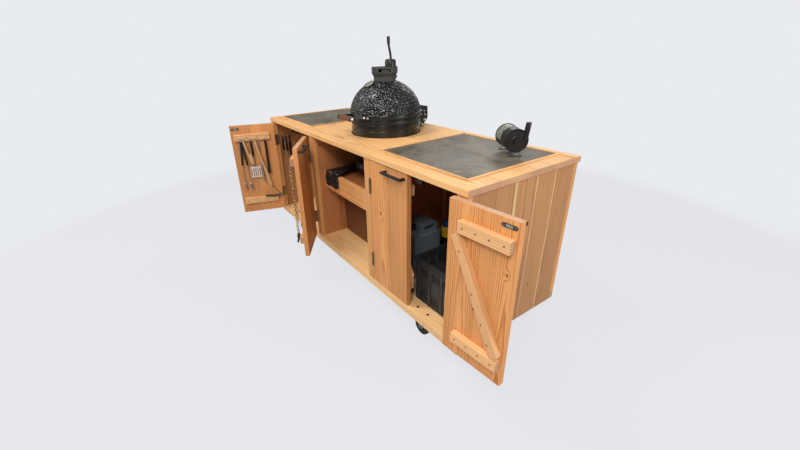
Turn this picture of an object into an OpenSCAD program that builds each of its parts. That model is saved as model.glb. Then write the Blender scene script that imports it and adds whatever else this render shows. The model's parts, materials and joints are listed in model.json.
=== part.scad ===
/* [Worktop] */
// Thickness of the worktop planks
top_t = 28; // [22:1:40]
// Overhang of the worktop past the cabinet at each end and at the front
top_over = 5; // [2:1:20]
// Overhang of the worktop past the cabinet at the back
top_over_back = 10; // [2:1:30]
// Number of planks across the worktop's depth
top_planks = 4; // [3:1:6]
// Open joint between neighbouring planks
plank_gap = 0.5; // [0.3:0.1:1]

/* [Tiles] */
// Width of the right-hand tile field
right_tiles_w = 600; // [560:1:620]
// Width of the left-hand tile field
left_tiles_w = 545; // [500:1:560]
// Depth of both tile fields
tiles_d = 600; // [560:1:610]
// Distance from the worktop's front edge to the tiles
tiles_front = 90; // [60:1:100]
// Distance from the worktop's right end to the right-hand tiles
right_tiles_edge = 90; // [60:1:100]
// Distance from the worktop's left end to the left-hand tiles
left_tiles_edge = 57; // [40:1:80]
// Thickness of a tile
tile_t = 12; // [10:0.5:14]
// Joint between two tiles
tile_joint = 2; // [1:0.5:4]
// Width of the trim strips
trim_w = 14; // [10:1:18]
// Height of the trim strips
trim_h = 16; // [14:1:18]
// Height of the trim above the worktop
trim_proud = 6; // [3:0.5:8]

/* [Cabinet] */
// Clear width of the left bay
bay1_w = 667; // [640:1:700]
// Clear width of the middle bay
bay2_w = 631; // [600:1:660]
// Clear width of the right bay
bay3_w = 618; // [600:1:640]
// Clear height between the deck and the worktop
open_h = 726; // [700:1:760]
// Depth of the cabinet
cab_d = 735; // [700:1:770]
// Thickness of the wall boards, door boards and ledges
board_t = 28; // [24:1:32]
// Width of the upright battens
batten_w = 56; // [50:1:62]
// Number of planks in a side panel or a divider
wall_planks = 5; // [4:1:6]
// Distance that a divider stands back from its batten's edge
divider_recess = 6; // [3:1:12]
// Thickness of the back boards
back_t = 18; // [14:1:22]
// Thickness of the deck planks
deck_t = 48; // [40:1:56]
// Number of planks in the deck
deck_planks = 4; // [3:1:6]

/* [Middle bay] */
// Clear height of the low niche
niche_h = 436; // [400:1:450]
// Distance from the cabinet front to the niche's back boards
niche_d = 208; // [180:1:240]
// Thickness of the shelf planks
shelf_t = 28; // [24:1:32]
// Height of the shelf's front rail
rail_h = 120; // [100:1:140]
// Height of the rail's top above the shelf
rail_lip = 18; // [10:1:24]
// Distance that the rail stands back from the cabinet front
rail_back = 70; // [60:1:90]
// Height of the bearers under the shelf
bearer_h = 44; // [34:1:60]

/* [Doors] */
// Clearance round a door leaf
door_gap = 3; // [2.6:0.1:4]
// Clearance between a door and the worktop
door_top_gap = 4; // [3:0.5:6]
// Distance from a hinge pin to the cabinet front
pin_proud = 6; // [5.5:0.5:8]
// Height of the ledges on the doors
ledge_h = 50; // [40:1:60]
// Distance from the cabinet's top to the upper ledge
ledge_top = 70; // [62:1:90]
// Distance from the cabinet's bottom to the lower ledge
ledge_bottom = 84; // [70:1:110]
// Inset of a wide door's ledges at the hinge side
wide_ledge_in = 40; // [36:1:60]
// Inset of a wide door's ledges at the free side
wide_ledge_out = 22; // [16:1:40]
// Inset of a narrow door's ledges at the hinge side
narrow_ledge_in = 66; // [56:1:80]
// Inset of a narrow door's ledges at the free side
narrow_ledge_out = 11; // [8:1:30]
// Width of the diagonal brace
brace_w = 36; // [30:1:50]
// Opening angle of the left bay's left door
angle_a = 108.5; // [0:0.5:190]
// Opening angle of the left bay's right door
angle_b = 146; // [0:0.5:190]
// Opening angle of the right bay's left door
angle_d = 0; // [0:0.5:190]
// Opening angle of the right bay's right door
angle_e = 183.7; // [0:0.1:190]

/* [Door fittings] */
// Length of a bar handle
handle_len = 155; // [120:1:160]
// Width of the handle's square bar
handle_bar = 12; // [10:1:16]
// Finger room behind the handle
handle_gap = 22; // [18:1:30]
// Distance from the door's free edge to the handle
handle_edge = 12; // [8:1:30]
// Height of the handle and the catch below the door's top
handle_drop = 26; // [22:1:30]
// Length of a catch plate
plate_len = 62; // [50:1:70]
// Height of a catch plate
plate_h = 16; // [12:1:20]
// Thickness of a catch plate
plate_t = 2; // [1.5:0.1:3]
// Distance from the door's free edge to the catch plate's middle
plate_edge = 40; // [36:1:60]
// Height of a hinge
hinge_h = 85; // [70:1:100]
// Radius of a hinge knuckle
knuckle_r = 4.5; // [4:0.1:4.8]
// Radius of a hinge pin
pin_r = 2.2; // [2:0.1:2.5]
// Thickness of a hinge leaf
leaf_t = 1.2; // [1:0.05:1.25]
// Width of a hinge leaf
leaf_w = 30; // [24:1:32]
// Distance from the clear opening's ends to a hinge's middle
hinge_in = 143; // [120:1:200]

/* [Castors] */
// Height from the ground to the deck
castor_h = 128; // [120:1:140]
// Radius of a castor wheel
wheel_r = 50; // [45:1:50]
// Thickness of a castor's tyre
tyre_t = 13; // [10:1:16]
// Width of a castor wheel
wheel_w = 32; // [26:1:34]
// Trail from the swivel's axis to the wheel's axle
castor_trail = 28; // [20:1:32]
// Distance from the cabinet's side to a castor's swivel axis
castor_in_x = 286; // [150:1:320]
// Distance from the cabinet's front or back to a castor's swivel axis
castor_in_y = 73; // [60:1:100]
// Spacing of the castor bolts along the cabinet
bolt_x = 77; // [70:1:84]
// Spacing of the castor bolts across the cabinet
bolt_y = 60; // [54:1:66]
// Radius of a castor bolt's shank
bolt_r = 4; // [3:0.5:4]
// Depth of a castor bolt's counterbore in the deck
bolt_sink = 6; // [5:0.5:12]

/* [Kamado] */
// Place of the kamado's axis along the worktop, from its middle
kamado_x = -10; // [-20:1:20]
// Place of the kamado's axis behind the worktop's middle
kamado_y = 19; // [0:1:30]
// Outer radius of the ceramic at the rim
rim_r = 214; // [205:1:214]
// Clearance round the kamado in the worktop
cutout_gap = 5; // [4:1:8]
// Thickness of the ceramic wall
ceramic_t = 22; // [18:1:26]
// Height of the split between base and dome above the worktop
split_h = 96; // [90:1:110]
// Height of the dome above its skirt
dome_h = 200; // [190:1:210]
// Height of the dome's straight skirt
skirt_h = 28; // [28:1:30]
// Height of the feet under the base
foot_h = 20; // [15:1:25]
// Width of the steel bands
band_h = 22; // [18:1:24]
// Thickness of the steel bands
band_t = 2.7; // [2:0.1:3]

/* [Kamado fittings] */
// Length of the wooden handle
bar_len = 134; // [110:1:150]
// Height of the wooden handle
bar_h = 28; // [24:1:32]
// Depth of the wooden handle
bar_d = 20; // [16:1:24]
// Distance from the band to the wooden handle's middle
bar_out = 72; // [60:1:80]
// Radius of the rod in the wooden handle
rod_r = 4; // [3:0.5:5]
// Radius of the thermometer
gauge_r = 33; // [26:1:36]
// Outer radius of the chimney collar
collar_r = 67; // [60:1:70]
// Height of the chimney collar
collar_h = 30; // [24:1:36]
// Outer radius of the vent cap
cap_r = 78; // [74:1:84]
// Height of the vent cap
cap_h = 52; // [46:1:58]
// Number of windows round the vent cap
cap_windows = 3; // [2:1:4]
// Radius of the round foot of the lamp on the vent cap
lamp_r = 33; // [26:1:36]
// Height of the lamp's foot
lamp_foot = 41; // [34:1:46]
// Length of the lamp's stalk and head
lamp_len = 122; // [100:1:140]
// Distance from the band to the rear hinge's pin
hinge_out = 52; // [46:1:56]
// Depth of the rear hinge's pin below the joint of base and dome
hinge_drop = 49; // [44:1:52]
// Height of the rear hinge's housing above the joint of base and dome
hinge_rise = 45; // [38:1:50]
// Number of panels round the firebox
fire_panels = 4; // [4:4:8]
// Travel of the draught door
draught_travel = 60; // [40:1:62]

/* [Stored things] */
// Length of the crate across the cabinet's depth
crate_l = 400; // [360:1:420]
// Width of the crate
crate_w = 300; // [280:1:310]
// Height of the crate
crate_h = 257; // [220:1:280]
// Wall of the crate
crate_t = 3; // [2.5:0.1:4]
// Depth of the jerrycan
can_l = 195; // [170:1:220]
// Width of the jerrycan
can_w = 125; // [115:1:150]
// Height of the jerrycan
can_h = 336; // [300:1:340]
// Radius of the bottle behind the jerrycan
bottle_r = 37; // [30:1:40]
// Height of the bottle behind the jerrycan
bottle_h = 290; // [250:1:320]
// Radius of the fan's drum
fan_r = 56; // [50:1:60]
// Length of the fan's drum
fan_len = 146; // [130:1:160]
// Length of the gloves' cuffs on the shelf
glove_l = 255; // [210:1:265]
// Height of the fan's spout above the drum
fan_spout = 27; // [18:1:36]
// Height of the fan's feet
fan_foot = 18; // [14:1:24]
// Turn of the fan's axis on the tiles
fan_turn = 146.5; // [130:0.5:160]

/* [Hidden] */
$fn = 64;

// Clearances: a seat between two pieces, a shaft in its bore, a moving gap
seat = 0.3;
run = 0.05;
free = 0.5;
// Glued or screwed joint between two pieces of one sub-part
joint = 0.2;

// Levels above the ground
deck_z = castor_h + deck_t;
under_z = deck_z + open_h;
top_z = under_z + top_t;
// Cabinet and bays
cab_w = 4 * batten_w + bay1_w + bay2_w + bay3_w;
cab_x0 = -cab_w / 2;
top_len = cab_w + 2 * top_over;
top_d = top_over + cab_d + top_over_back;
top_y0 = -top_d / 2;
front_y = top_y0 + top_over;
back_y = front_y + cab_d;
bay1_x = [cab_x0 + batten_w, cab_x0 + batten_w + bay1_w];
bay2_x = [bay1_x[1] + batten_w, bay1_x[1] + batten_w + bay2_w];
bay3_x = [bay2_x[1] + batten_w, bay2_x[1] + batten_w + bay3_w];
batten_x = [cab_x0, bay1_x[1], bay2_x[1], bay3_x[1]];
wall_y = [front_y + board_t, back_y - board_t];
divider_x = [bay2_x[0] - divider_recess - board_t, bay2_x[1] + divider_recess];
shelf_x = [divider_x[0] + board_t, divider_x[1]];
shelf_z = deck_z + niche_h + shelf_t;
rail_y = front_y + rail_back;
niche_y = front_y + niche_d;
// Tile fields: low corner and size
recess_d = trim_h - trim_proud;
tile_fields = [
    [[-top_len / 2 + left_tiles_edge, top_y0 + tiles_front], [left_tiles_w, tiles_d]],
    [[top_len / 2 - right_tiles_edge - right_tiles_w, top_y0 + tiles_front], [right_tiles_w, tiles_d]]];
tile_z = top_z - recess_d + tile_t;
// Doors: pin x, side that the closed leaf runs to, leaf width, opening angle, ledge insets, brace
pin_y = front_y - pin_proud;
wide_w = (bay1_w - 3 * door_gap) / 2;
narrow_w = (bay3_w - 3 * door_gap) / 2;
door_a = [bay1_x[0] + door_gap / 2, 1, wide_w, angle_a, wide_ledge_in, wide_ledge_out, false];
door_b = [bay1_x[1] - door_gap / 2, -1, wide_w, angle_b, wide_ledge_in, wide_ledge_out, false];
door_d = [bay3_x[0] + door_gap / 2, 1, narrow_w, angle_d, narrow_ledge_in, narrow_ledge_out, true];
door_e = [bay3_x[1] - door_gap / 2, -1, narrow_w, angle_e, narrow_ledge_in, narrow_ledge_out, true];
doors = [door_a, door_b, door_d, door_e];
door_z = [deck_z + door_gap, under_z - door_top_gap];
door_v = [pin_proud, pin_proud + board_t];
handle_z = door_z[1] - handle_drop;
hinge_z = [deck_z + hinge_in - hinge_h / 2, under_z - hinge_in - hinge_h / 2];
third = hinge_h / 3;
upper_ledge_z = under_z - ledge_top - ledge_h;
lower_ledge_z = deck_z + ledge_bottom;
ledge_v = door_v[1] + joint + board_t;
// Castors: swivel axes
castor_x = [cab_x0 + castor_in_x, -cab_x0 - castor_in_x];
castor_y = [front_y + castor_in_y, back_y - castor_in_y];
plate_z = castor_h - 3;
crown_z = castor_h - 20;
axle_z = wheel_r;
axle_r = 4;
king_r = 6;
fork_in = wheel_w / 2 + 2;
fork_t = 3;
// Kamado: levels, curves
split_z = top_z + split_h;
base_z = shelf_z + foot_h;
curve_z = top_z - 30;
base_drop = (curve_z - base_z) / 0.828;
gasket_t = 3.2;
rim_z = split_z - gasket_t - seat;
lip_z = split_z + skirt_h + 3;
dome_z = split_z + 14;
dome_r = rim_r + 3;
band_r = rim_r + seat + band_t;
neck_r = collar_r - 15;
// Outer radius of the base at a given height
function base_r(z) = rim_r * sqrt(1 - pow((curve_z - z) / base_drop, 2));
// Height of the dome's outside at a given radius
function dome_at(r) = dome_z + dome_h * sqrt(1 - pow(r / dome_r, 2));
collar_z = dome_at(collar_r);
cap_z = collar_z + collar_h;
// Middle and width of a window in the vent cap, and of one in the sleeve inside it
window_at = -35;
window_a = 168 / cap_windows;
sleeve_at = window_at + 12 + 180 / cap_windows;
sleeve_a = 360 / cap_windows - window_a - 2;
pin_k = [kamado_y + band_r + hinge_out, split_z - hinge_drop];
house_y = band_r + hinge_out + 36;
house_z = split_z + hinge_rise;
bar_y = kamado_y - band_r - bar_out;
bar_z = split_z + 20;
gauge_a = 60;
draught_z = base_z + 60;
frame_y = -base_r(draught_z + 22) - 2.6;
hinge_pin_r = 5;
cheek_x = 56;
cheek_t = 6;
band_low_z = split_z - 4 - band_h;
band_high_z = split_z + 4;
grate_z = rim_z - 38;
fire_top = base_z + 210;
fire_r = [100, 175];
fire_t = 20;

// Stored things: places, hooks and hanging rings
crate_pos = [-cab_x0 - 98 - crate_w, front_y + 89, deck_z];
can_pos = [bay3_x[0] + 19, front_y + 195, deck_z];
bottle_pos = can_pos + [can_w - bottle_r + 2, can_l + bottle_r + 38, 0];
fan_pos = [top_len / 2 - right_tiles_edge - right_tiles_w / 4, top_y0 + tiles_front + tiles_d * 0.747,
    tile_z + seat + fan_foot + fan_r];
hook_r = 1.5;
ring_r = 7;
tool_drop = 2 * (ring_r - hook_r) - seat;
tool_hook_z = upper_ledge_z + 10;
side_tool_y = [front_y + 62, front_y + 88, front_y + 120];

// A row of n boards that fills a box, split along one axis: 0 is X, 1 is Y, 2 is Z
module boards(low, size, n, split) {
    pitch = (size[split] + plank_gap) / n;
    for (i = [0 : n - 1])
        translate([for (k = [0 : 2]) low[k] + (k == split ? i * pitch : 0)])
            cube([for (k = [0 : 2]) k == split ? pitch - plank_gap : size[k]]);
}

// A box given by its low and high corners
module span(low, high) {
    translate(low) cube(high - low);
}

// A rectangle with round corners, as an exact outline
module round_rect(size, r) {
    translate([r, 0]) square([size[0] - 2 * r, size[1]]);
    translate([0, r]) square([size[0], size[1] - 2 * r]);
    for (x = [r, size[0] - r], y = [r, size[1] - r]) translate([x, y]) circle(r);
}

// A ring about the Z axis
module ring(r_in, r_out, h) {
    difference() {
        cylinder(r = r_out, h = h);
        translate([0, 0, -1]) cylinder(r = r_in, h = h + 2);
    }
}

// Four mitred strips round a rectangle
module mitred_strips(low, size, w, h) {
    a = low;
    b = low + size;
    m = 0.2;
    linear_extrude(h) {
        polygon([[a[0] - w + m, a[1] - w], [b[0] + w - m, a[1] - w], [b[0] - m, a[1]], [a[0] + m, a[1]]]);
        polygon([[a[0] + m, b[1]], [b[0] - m, b[1]], [b[0] + w - m, b[1] + w], [a[0] - w + m, b[1] + w]]);
        polygon([[a[0] - w, a[1] - w + m], [a[0], a[1] + m], [a[0], b[1] - m], [a[0] - w, b[1] + w - m]]);
        polygon([[b[0], a[1] + m], [b[0] + w, a[1] - w + m], [b[0] + w, b[1] + w - m], [b[0], b[1] - m]]);
    }
}

module worktop_planks() color("#d9a45a") difference() {
    boards([-top_len / 2, top_y0, under_z], [top_len, top_d, top_t], top_planks, 1);
    for (f = tile_fields)
        translate([f[0][0] - trim_w - seat, f[0][1] - trim_w - seat, top_z - recess_d])
            cube([f[1][0] + 2 * (trim_w + seat), f[1][1] + 2 * (trim_w + seat), recess_d + 1]);
    translate([kamado_x, kamado_y, under_z - 1]) cylinder(r = rim_r + cutout_gap, h = top_t + 2, $fn = 128);
}

module worktop_tiles() color("#77736a")
    for (f = tile_fields, i = [0, 1])
        translate([f[0][0] + seat, f[0][1] + seat + i * (f[1][1] + tile_joint) / 2, top_z - recess_d])
            cube([f[1][0] - 2 * seat, (f[1][1] - tile_joint) / 2 - seat, tile_t]);

module tile_trim() color("#dfae6b")
    for (f = tile_fields)
        translate([0, 0, top_z - recess_d]) mitred_strips(f[0], f[1], trim_w, trim_h);

module upright_battens() color("#c98f52")
    for (x = batten_x, y = [front_y, wall_y[1]])
        translate([x, y, deck_z]) cube([batten_w, board_t, open_h]);

// Planks of the two sides, which run down over the deck's ends
module side_planks() color("#b5793f")
    for (x = [cab_x0, -cab_x0 - board_t])
        boards([x, wall_y[0], castor_h], [board_t, wall_y[1] - wall_y[0], deck_t + open_h], wall_planks, 1);

module divider_planks() color("#a86c3a")
    for (x = divider_x)
        boards([x, wall_y[0], deck_z], [board_t, wall_y[1] - wall_y[0], open_h], wall_planks, 1);

module back_wall_planks() color("#9d6436")
    for (b = [bay1_x, bay2_x, bay3_x])
        boards([b[0], back_y - back_t, deck_z], [b[1] - b[0], back_t, open_h], wall_planks, 0);

// Places of the castor bolts
module at_castor_bolts()
    for (x = castor_x, y = castor_y, i = [-1, 1], j = [-1, 1])
        translate([x + i * bolt_x / 2, y + j * bolt_y / 2, castor_h]) children();

module deck_planks() color("#c98d51") difference() {
    boards([cab_x0, front_y, castor_h], [cab_w, cab_d, deck_t], deck_planks, 1);
    for (x = [cab_x0 - 1, -cab_x0 - board_t - joint])
        span([x, wall_y[0] - joint, castor_h - 1], [x + board_t + joint + 1, wall_y[1] + joint, deck_z + 1]);
    at_castor_bolts() translate([0, 0, -1]) cylinder(r = bolt_r + run, h = deck_t + 2, $fn = 24);
    at_castor_bolts() translate([0, 0, deck_t - bolt_sink]) cylinder(r = 2 * bolt_r + seat, h = 10, $fn = 24);
}

module castor_bolts() color("#35322f") at_castor_bolts() {
    translate([0, 0, deck_t - bolt_sink]) cylinder(r = 2 * bolt_r, h = 4, $fn = 24);
    translate([0, 0, -14]) cylinder(r = bolt_r, h = deck_t + 15 - bolt_sink, $fn = 24);
    translate([0, 0, -10]) cylinder(r = 1.7 * bolt_r, h = 6.5, $fn = 6);
}

// The front rail and the bearers that carry the shelf
module shelf_rails() color("#d19a58") {
    span([shelf_x[0], rail_y, shelf_z + rail_lip - rail_h], [shelf_x[1], rail_y + board_t, shelf_z + rail_lip]);
    for (x = [shelf_x[0], shelf_x[1] - board_t])
        span([x, niche_y + back_t, shelf_z - shelf_t - bearer_h], [x + board_t, wall_y[1], shelf_z - shelf_t]);
}

module shelf_planks() color("#b9803f")
    boards([shelf_x[0], rail_y + board_t, shelf_z - shelf_t],
        [shelf_x[1] - shelf_x[0], wall_y[1] - rail_y - board_t, shelf_t], wall_planks, 1);

module niche_back_boards() color("#9a5f33")
    boards([shelf_x[0], niche_y, deck_z], [shelf_x[1] - shelf_x[0], back_t, niche_h], wall_planks, 0);

// Magnets under the worktop, one behind each catch plate
module magnetic_catches() color("#8b8e90")
    for (d = doors)
        translate([d[0] + d[1] * (door_gap / 2 + d[2] - plate_edge), pin_y + door_v[1] + plate_t + free, 0])
            span([-25, 0, handle_z - 10], [25, 14, under_z]);

// Puts closed-door coordinates on a door: u from the pin, v behind the pin, z above the ground
module on_door(d) translate([d[0], pin_y, 0]) rotate([0, 0, -d[1] * d[3]]) mirror([d[1] < 0 ? 1 : 0, 0, 0]) children();

// The same frame without the opening angle
module at_jamb(d) translate([d[0], pin_y, 0]) mirror([d[1] < 0 ? 1 : 0, 0, 0]) children();

// One half of a butt hinge. Side -1 holds the outer knuckles and the pin, side 1 the middle knuckle.
module hinge_half(side) {
    x0 = side < 0 ? -door_gap / 2 : door_gap / 2 - leaf_t;
    difference() {
        span([x0, 0, 0], [x0 + leaf_t, leaf_w, hinge_h]);
        if (side < 0) translate([0, 0, third - seat]) cylinder(r = knuckle_r + free, h = third + 2 * seat, $fn = 32);
        if (side > 0) for (z = [-1, 2 * third - seat])
            translate([0, 0, z]) cylinder(r = knuckle_r + free, h = third + 1 + seat, $fn = 32);
        if (side > 0) translate([0, 0, -1]) cylinder(r = pin_r + run, h = hinge_h + 2, $fn = 32);
    }
    if (side < 0) {
        cylinder(r = knuckle_r, h = third - seat, $fn = 32);
        translate([0, 0, 2 * third + seat]) cylinder(r = knuckle_r, h = third - seat, $fn = 32);
        cylinder(r = pin_r, h = hinge_h, $fn = 32);
    }
    if (side > 0) translate([0, 0, third]) ring(pin_r + run, knuckle_r, third, $fn = 32);
}

module hinge_frame_halves() color("#9c978c")
    for (d = doors, z = hinge_z) at_jamb(d) translate([0, 0, z]) hinge_half(-1);

module door_hinges(d) color("#9c978c") on_door(d)
    for (z = hinge_z) translate([0, 0, z]) hinge_half(1);

// Two boards, two ledges and, on the narrow doors, a brace between the ledges
module door_leaf(d) color("#c98548") on_door(d) {
    edge = door_gap / 2;
    u = [edge + d[4], edge + d[2] - d[5]];
    boards([edge, door_v[0], door_z[0]], [d[2], board_t, door_z[1] - door_z[0]], 2, 0);
    for (z = [lower_ledge_z, upper_ledge_z]) span([u[0], ledge_v - board_t, z], [u[1], ledge_v, z + ledge_h]);
    if (d[6]) {
        z0 = lower_ledge_z + ledge_h + seat;
        z1 = upper_ledge_z - seat;
        u0 = u[0] - 26;
        u1 = u[1] + 4;
        translate([0, ledge_v, 0]) rotate([90, 0, 0]) linear_extrude(board_t)
            polygon([[u0, z1 - 19], [u0 + brace_w * 0.8, z1], [u1, z0 + 29], [u1 - 8, z0], [u1 - brace_w, z0]]);
    }
}

module door_handle(d) color("#1b1b1c") on_door(d) {
    u1 = door_gap / 2 + d[2] - handle_edge;
    u0 = u1 - handle_len;
    bar = door_v[0] - handle_gap - handle_bar;
    translate([0, 0, handle_z - handle_bar / 2]) {
        span([u0, bar, 0], [u1, bar + handle_bar, handle_bar]);
        for (u = [u0, u1 - handle_bar]) span([u, bar, 0], [u + handle_bar, door_v[0], handle_bar]);
    }
}

module door_catch_plate(d) color("#3a3c3e") on_door(d)
    translate([door_gap / 2 + d[2] - plate_edge - plate_len / 2, door_v[1] + plate_t, handle_z - plate_h / 2])
        rotate([90, 0, 0]) linear_extrude(plate_t) round_rect([plate_len, plate_h], plate_h / 2 - 0.1);

// Top plate with its king pin and head
module castor_plates() color("#a9abab")
    for (x = castor_x, y = castor_y) translate([x, y, 0]) difference() {
        union() {
            translate([-52.5, -42.5, plate_z]) linear_extrude(castor_h - plate_z) round_rect([105, 85], 8);
            translate([0, 0, crown_z - 3.5]) cylinder(r = king_r, h = plate_z - crown_z + 4);
            translate([0, 0, crown_z - 3.5]) cylinder(r = king_r + 5, h = 3.2);
        }
        for (i = [-1, 1], j = [-1, 1]) translate([i * bolt_x / 2, j * bolt_y / 2, plate_z - 1])
            cylinder(r = bolt_r + run, h = 5, $fn = 24);
    }

// Crown with the bearing race, two legs, the axle with its nut
module castor_fork(x, y) color("#9fa2a3") translate([x, y, 0]) {
    difference() {
        union() {
            translate([0, 0, crown_z]) cylinder(r = 31, h = plate_z - seat - crown_z);
            for (s = [-1, 1]) translate([0, s * fork_in + (s > 0 ? fork_t : 0), 0]) rotate([90, 0, 0])
                linear_extrude(fork_t) {
                    polygon([[-26, crown_z + 3], [26, crown_z + 3], [-castor_trail + 11, axle_z - 8],
                        [-castor_trail - 11, axle_z - 8], [-castor_trail - 15, axle_z + 10]]);
                    translate([-castor_trail, axle_z]) circle(14);
                }
        }
        translate([0, 0, crown_z - 1]) cylinder(r = king_r + run, h = 30);
    }
    translate([-castor_trail, 0, axle_z]) rotate([90, 0, 0]) {
        translate([0, 0, -fork_in - fork_t - 8]) cylinder(r = axle_r, h = 2 * (fork_in + fork_t + 8));
        for (z = [-fork_in - fork_t - 6.5, fork_in + fork_t]) translate([0, 0, z]) cylinder(r = 7.5, h = 6.5, $fn = 6);
    }
}

// Tyre on a hub, turning on the fork's axle
module castor_wheel(x, y) color("#1d1d1e")
    translate([x - castor_trail, y, axle_z]) rotate([90, 0, 0]) {
        rotate_extrude($fn = 96) translate([wheel_r - tyre_t, -wheel_w / 2]) round_rect([tyre_t, wheel_w], 4);
        translate([0, 0, -wheel_w / 2 + 3]) ring(axle_r + run, wheel_r - tyre_t - joint, wheel_w - 6);
        translate([0, 0, -wheel_w / 2 - 1]) ring(axle_r + run, 12, wheel_w + 2);
    }

// Outline of the ceramic base, from its foot to the rim, at a distance inside the surface
function base_curve(t) = [for (i = [0 : 12])
    let (z = base_z + t + i * (curve_z - base_z - t) / 12,
        r = (rim_r - t) * sqrt(1 - pow((curve_z - z) / (base_drop - t), 2))) [r, z]];

// Outline of the dome, from the lip to the neck, at a distance inside the surface
function dome_curve(t, z_low, r_high) =
    let (a0 = asin((z_low - dome_z) / (dome_h - t)), a1 = acos(r_high / (dome_r - t)))
    [for (i = [0 : 14]) let (a = a0 + i * (a1 - a0) / 14) [(dome_r - t) * cos(a), dome_z + (dome_h - t) * sin(a)]];

module at_kamado() translate([kamado_x, kamado_y, 0]) children();

module revolve_base(t) rotate_extrude($fn = 96)
    polygon(concat([[0, base_z + t]], base_curve(t), [[rim_r - t, rim_z], [0, rim_z]]));

module kamado_base() color("#191a1a") at_kamado() difference() {
    revolve_base(0);
    rotate_extrude($fn = 96)
        polygon(concat([[0, base_z + ceramic_t]], base_curve(ceramic_t), [[rim_r - ceramic_t, rim_z + 1], [0, rim_z + 1]]));
    span([-40, -rim_r, draught_z - 16], [40, -60, draught_z + 16]);
}

module kamado_feet() color("#2a2a2a") at_kamado()
    for (a = [90, 210, 330]) rotate([0, 0, a]) translate([60, -22, shelf_z]) cube([50, 44, foot_h]);

// Firebox bowl with the fire ring standing on it
module firebox() color("#b7b0a2") at_kamado() {
    low = base_z + ceramic_t + seat;
    side = (fire_r[1] - fire_r[0]) / (fire_top - low);
    difference() {
        translate([0, 0, low]) cylinder(r1 = fire_r[0], r2 = fire_r[0] + side * fire_t, h = fire_t);
        translate([0, 0, low - 1]) cylinder(r = 30, h = fire_t + 2);
    }
    difference() {
        translate([0, 0, low + fire_t + seat])
            cylinder(r1 = fire_r[0] + side * (fire_t + seat), r2 = fire_r[1], h = fire_top - low - fire_t - seat);
        translate([0, 0, low + fire_t])
            cylinder(r1 = fire_r[0] - fire_t + 9, r2 = fire_r[1] - fire_t, h = fire_top - low - fire_t + 0.01);
        span([-40, -rim_r, draught_z - 12], [40, -40, draught_z + 16]);
        for (i = [0 : fire_panels / 2 - 1]) rotate([0, 0, 45 + i * 360 / fire_panels])
            span([-fire_r[1] - 1, -0.4, low + fire_t], [fire_r[1] + 1, 0.4, fire_top + 1]);
    }
    translate([0, 0, fire_top + seat]) ring(fire_r[1] - fire_t, fire_r[1] + 6, grate_z - fire_top - 2 * seat);
}

// A round grate: a ring with parallel bars
module grate(r, t, n) {
    ring(r - t, r, t);
    intersection() {
        cylinder(r = r - t / 2, h = t);
        for (i = [1 : n - 1]) translate([-r + i * 2 * r / n - t / 2, -r, 0]) cube([t, 2 * r, t]);
    }
}

// Charcoal grate low in the firebox, cooking grate on the fire ring
module grates() color("#6e6c68") at_kamado() {
    low = base_z + ceramic_t + seat;
    z = low + fire_t + 44;
    slope = (fire_r[1] - fire_r[0] - 9) / (fire_top - low - fire_t);
    translate([0, 0, z]) grate(fire_r[0] - fire_t + 9 + slope * 44 - seat, 6, 12);
    translate([0, 0, grate_z]) grate(fire_r[1] + 4, 6, 20);
}

module base_gasket() color("#4a4844") at_kamado()
    translate([0, 0, rim_z]) ring(rim_r - ceramic_t, rim_r - 0.5, gasket_t);

// Side plate of the rear hinge, from an outline in depth and height, with the pin's hole
module hinge_cheek(outline, t) rotate([90, 0, 90]) linear_extrude(t, center = true) difference() {
    union() {
        polygon(outline);
        translate([pin_k[0] - kamado_y, pin_k[1]]) circle(12);
    }
    translate([pin_k[0] - kamado_y, pin_k[1]]) circle(hinge_pin_r + run);
}

// A clamping band with a split lug and its bolt at the front
module band(z) {
    translate([0, 0, z]) ring(band_r - band_t, band_r, band_h, $fn = 128);
}

module lower_band() color("#202122") at_kamado() {
    difference() {
        union() {
            band(band_low_z);
            for (s = [-1, 1]) translate([s * cheek_x, 0, 0]) hinge_cheek([
                [band_r * 0.95, band_low_z], [house_y - 66, pin_k[1] - 14], [house_y - 66, top_z + 10],
                [house_y - 58, top_z + 4], [house_y - 44, top_z + 4], [house_y - 36, top_z + 16],
                [house_y - 24, pin_k[1] - 2], [house_y - 30, pin_k[1] + 11], [band_r * 0.95, band_low_z + band_h]],
                cheek_t);
        }
        translate([0, 0, band_low_z - 30]) cylinder(r = band_r - band_t, h = 80, $fn = 128);
    }
    translate([-cheek_x - cheek_t / 2 - 5, pin_k[0] - kamado_y, pin_k[1]]) rotate([0, 90, 0])
        cylinder(r = hinge_pin_r, h = 2 * cheek_x + cheek_t + 10);
    for (s = [-1, 1]) translate([s * (cheek_x + cheek_t / 2 + 2.5), pin_k[0] - kamado_y, pin_k[1]])
        rotate([0, 90, 0]) cylinder(r = 9, h = 5, center = true);
}

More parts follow.
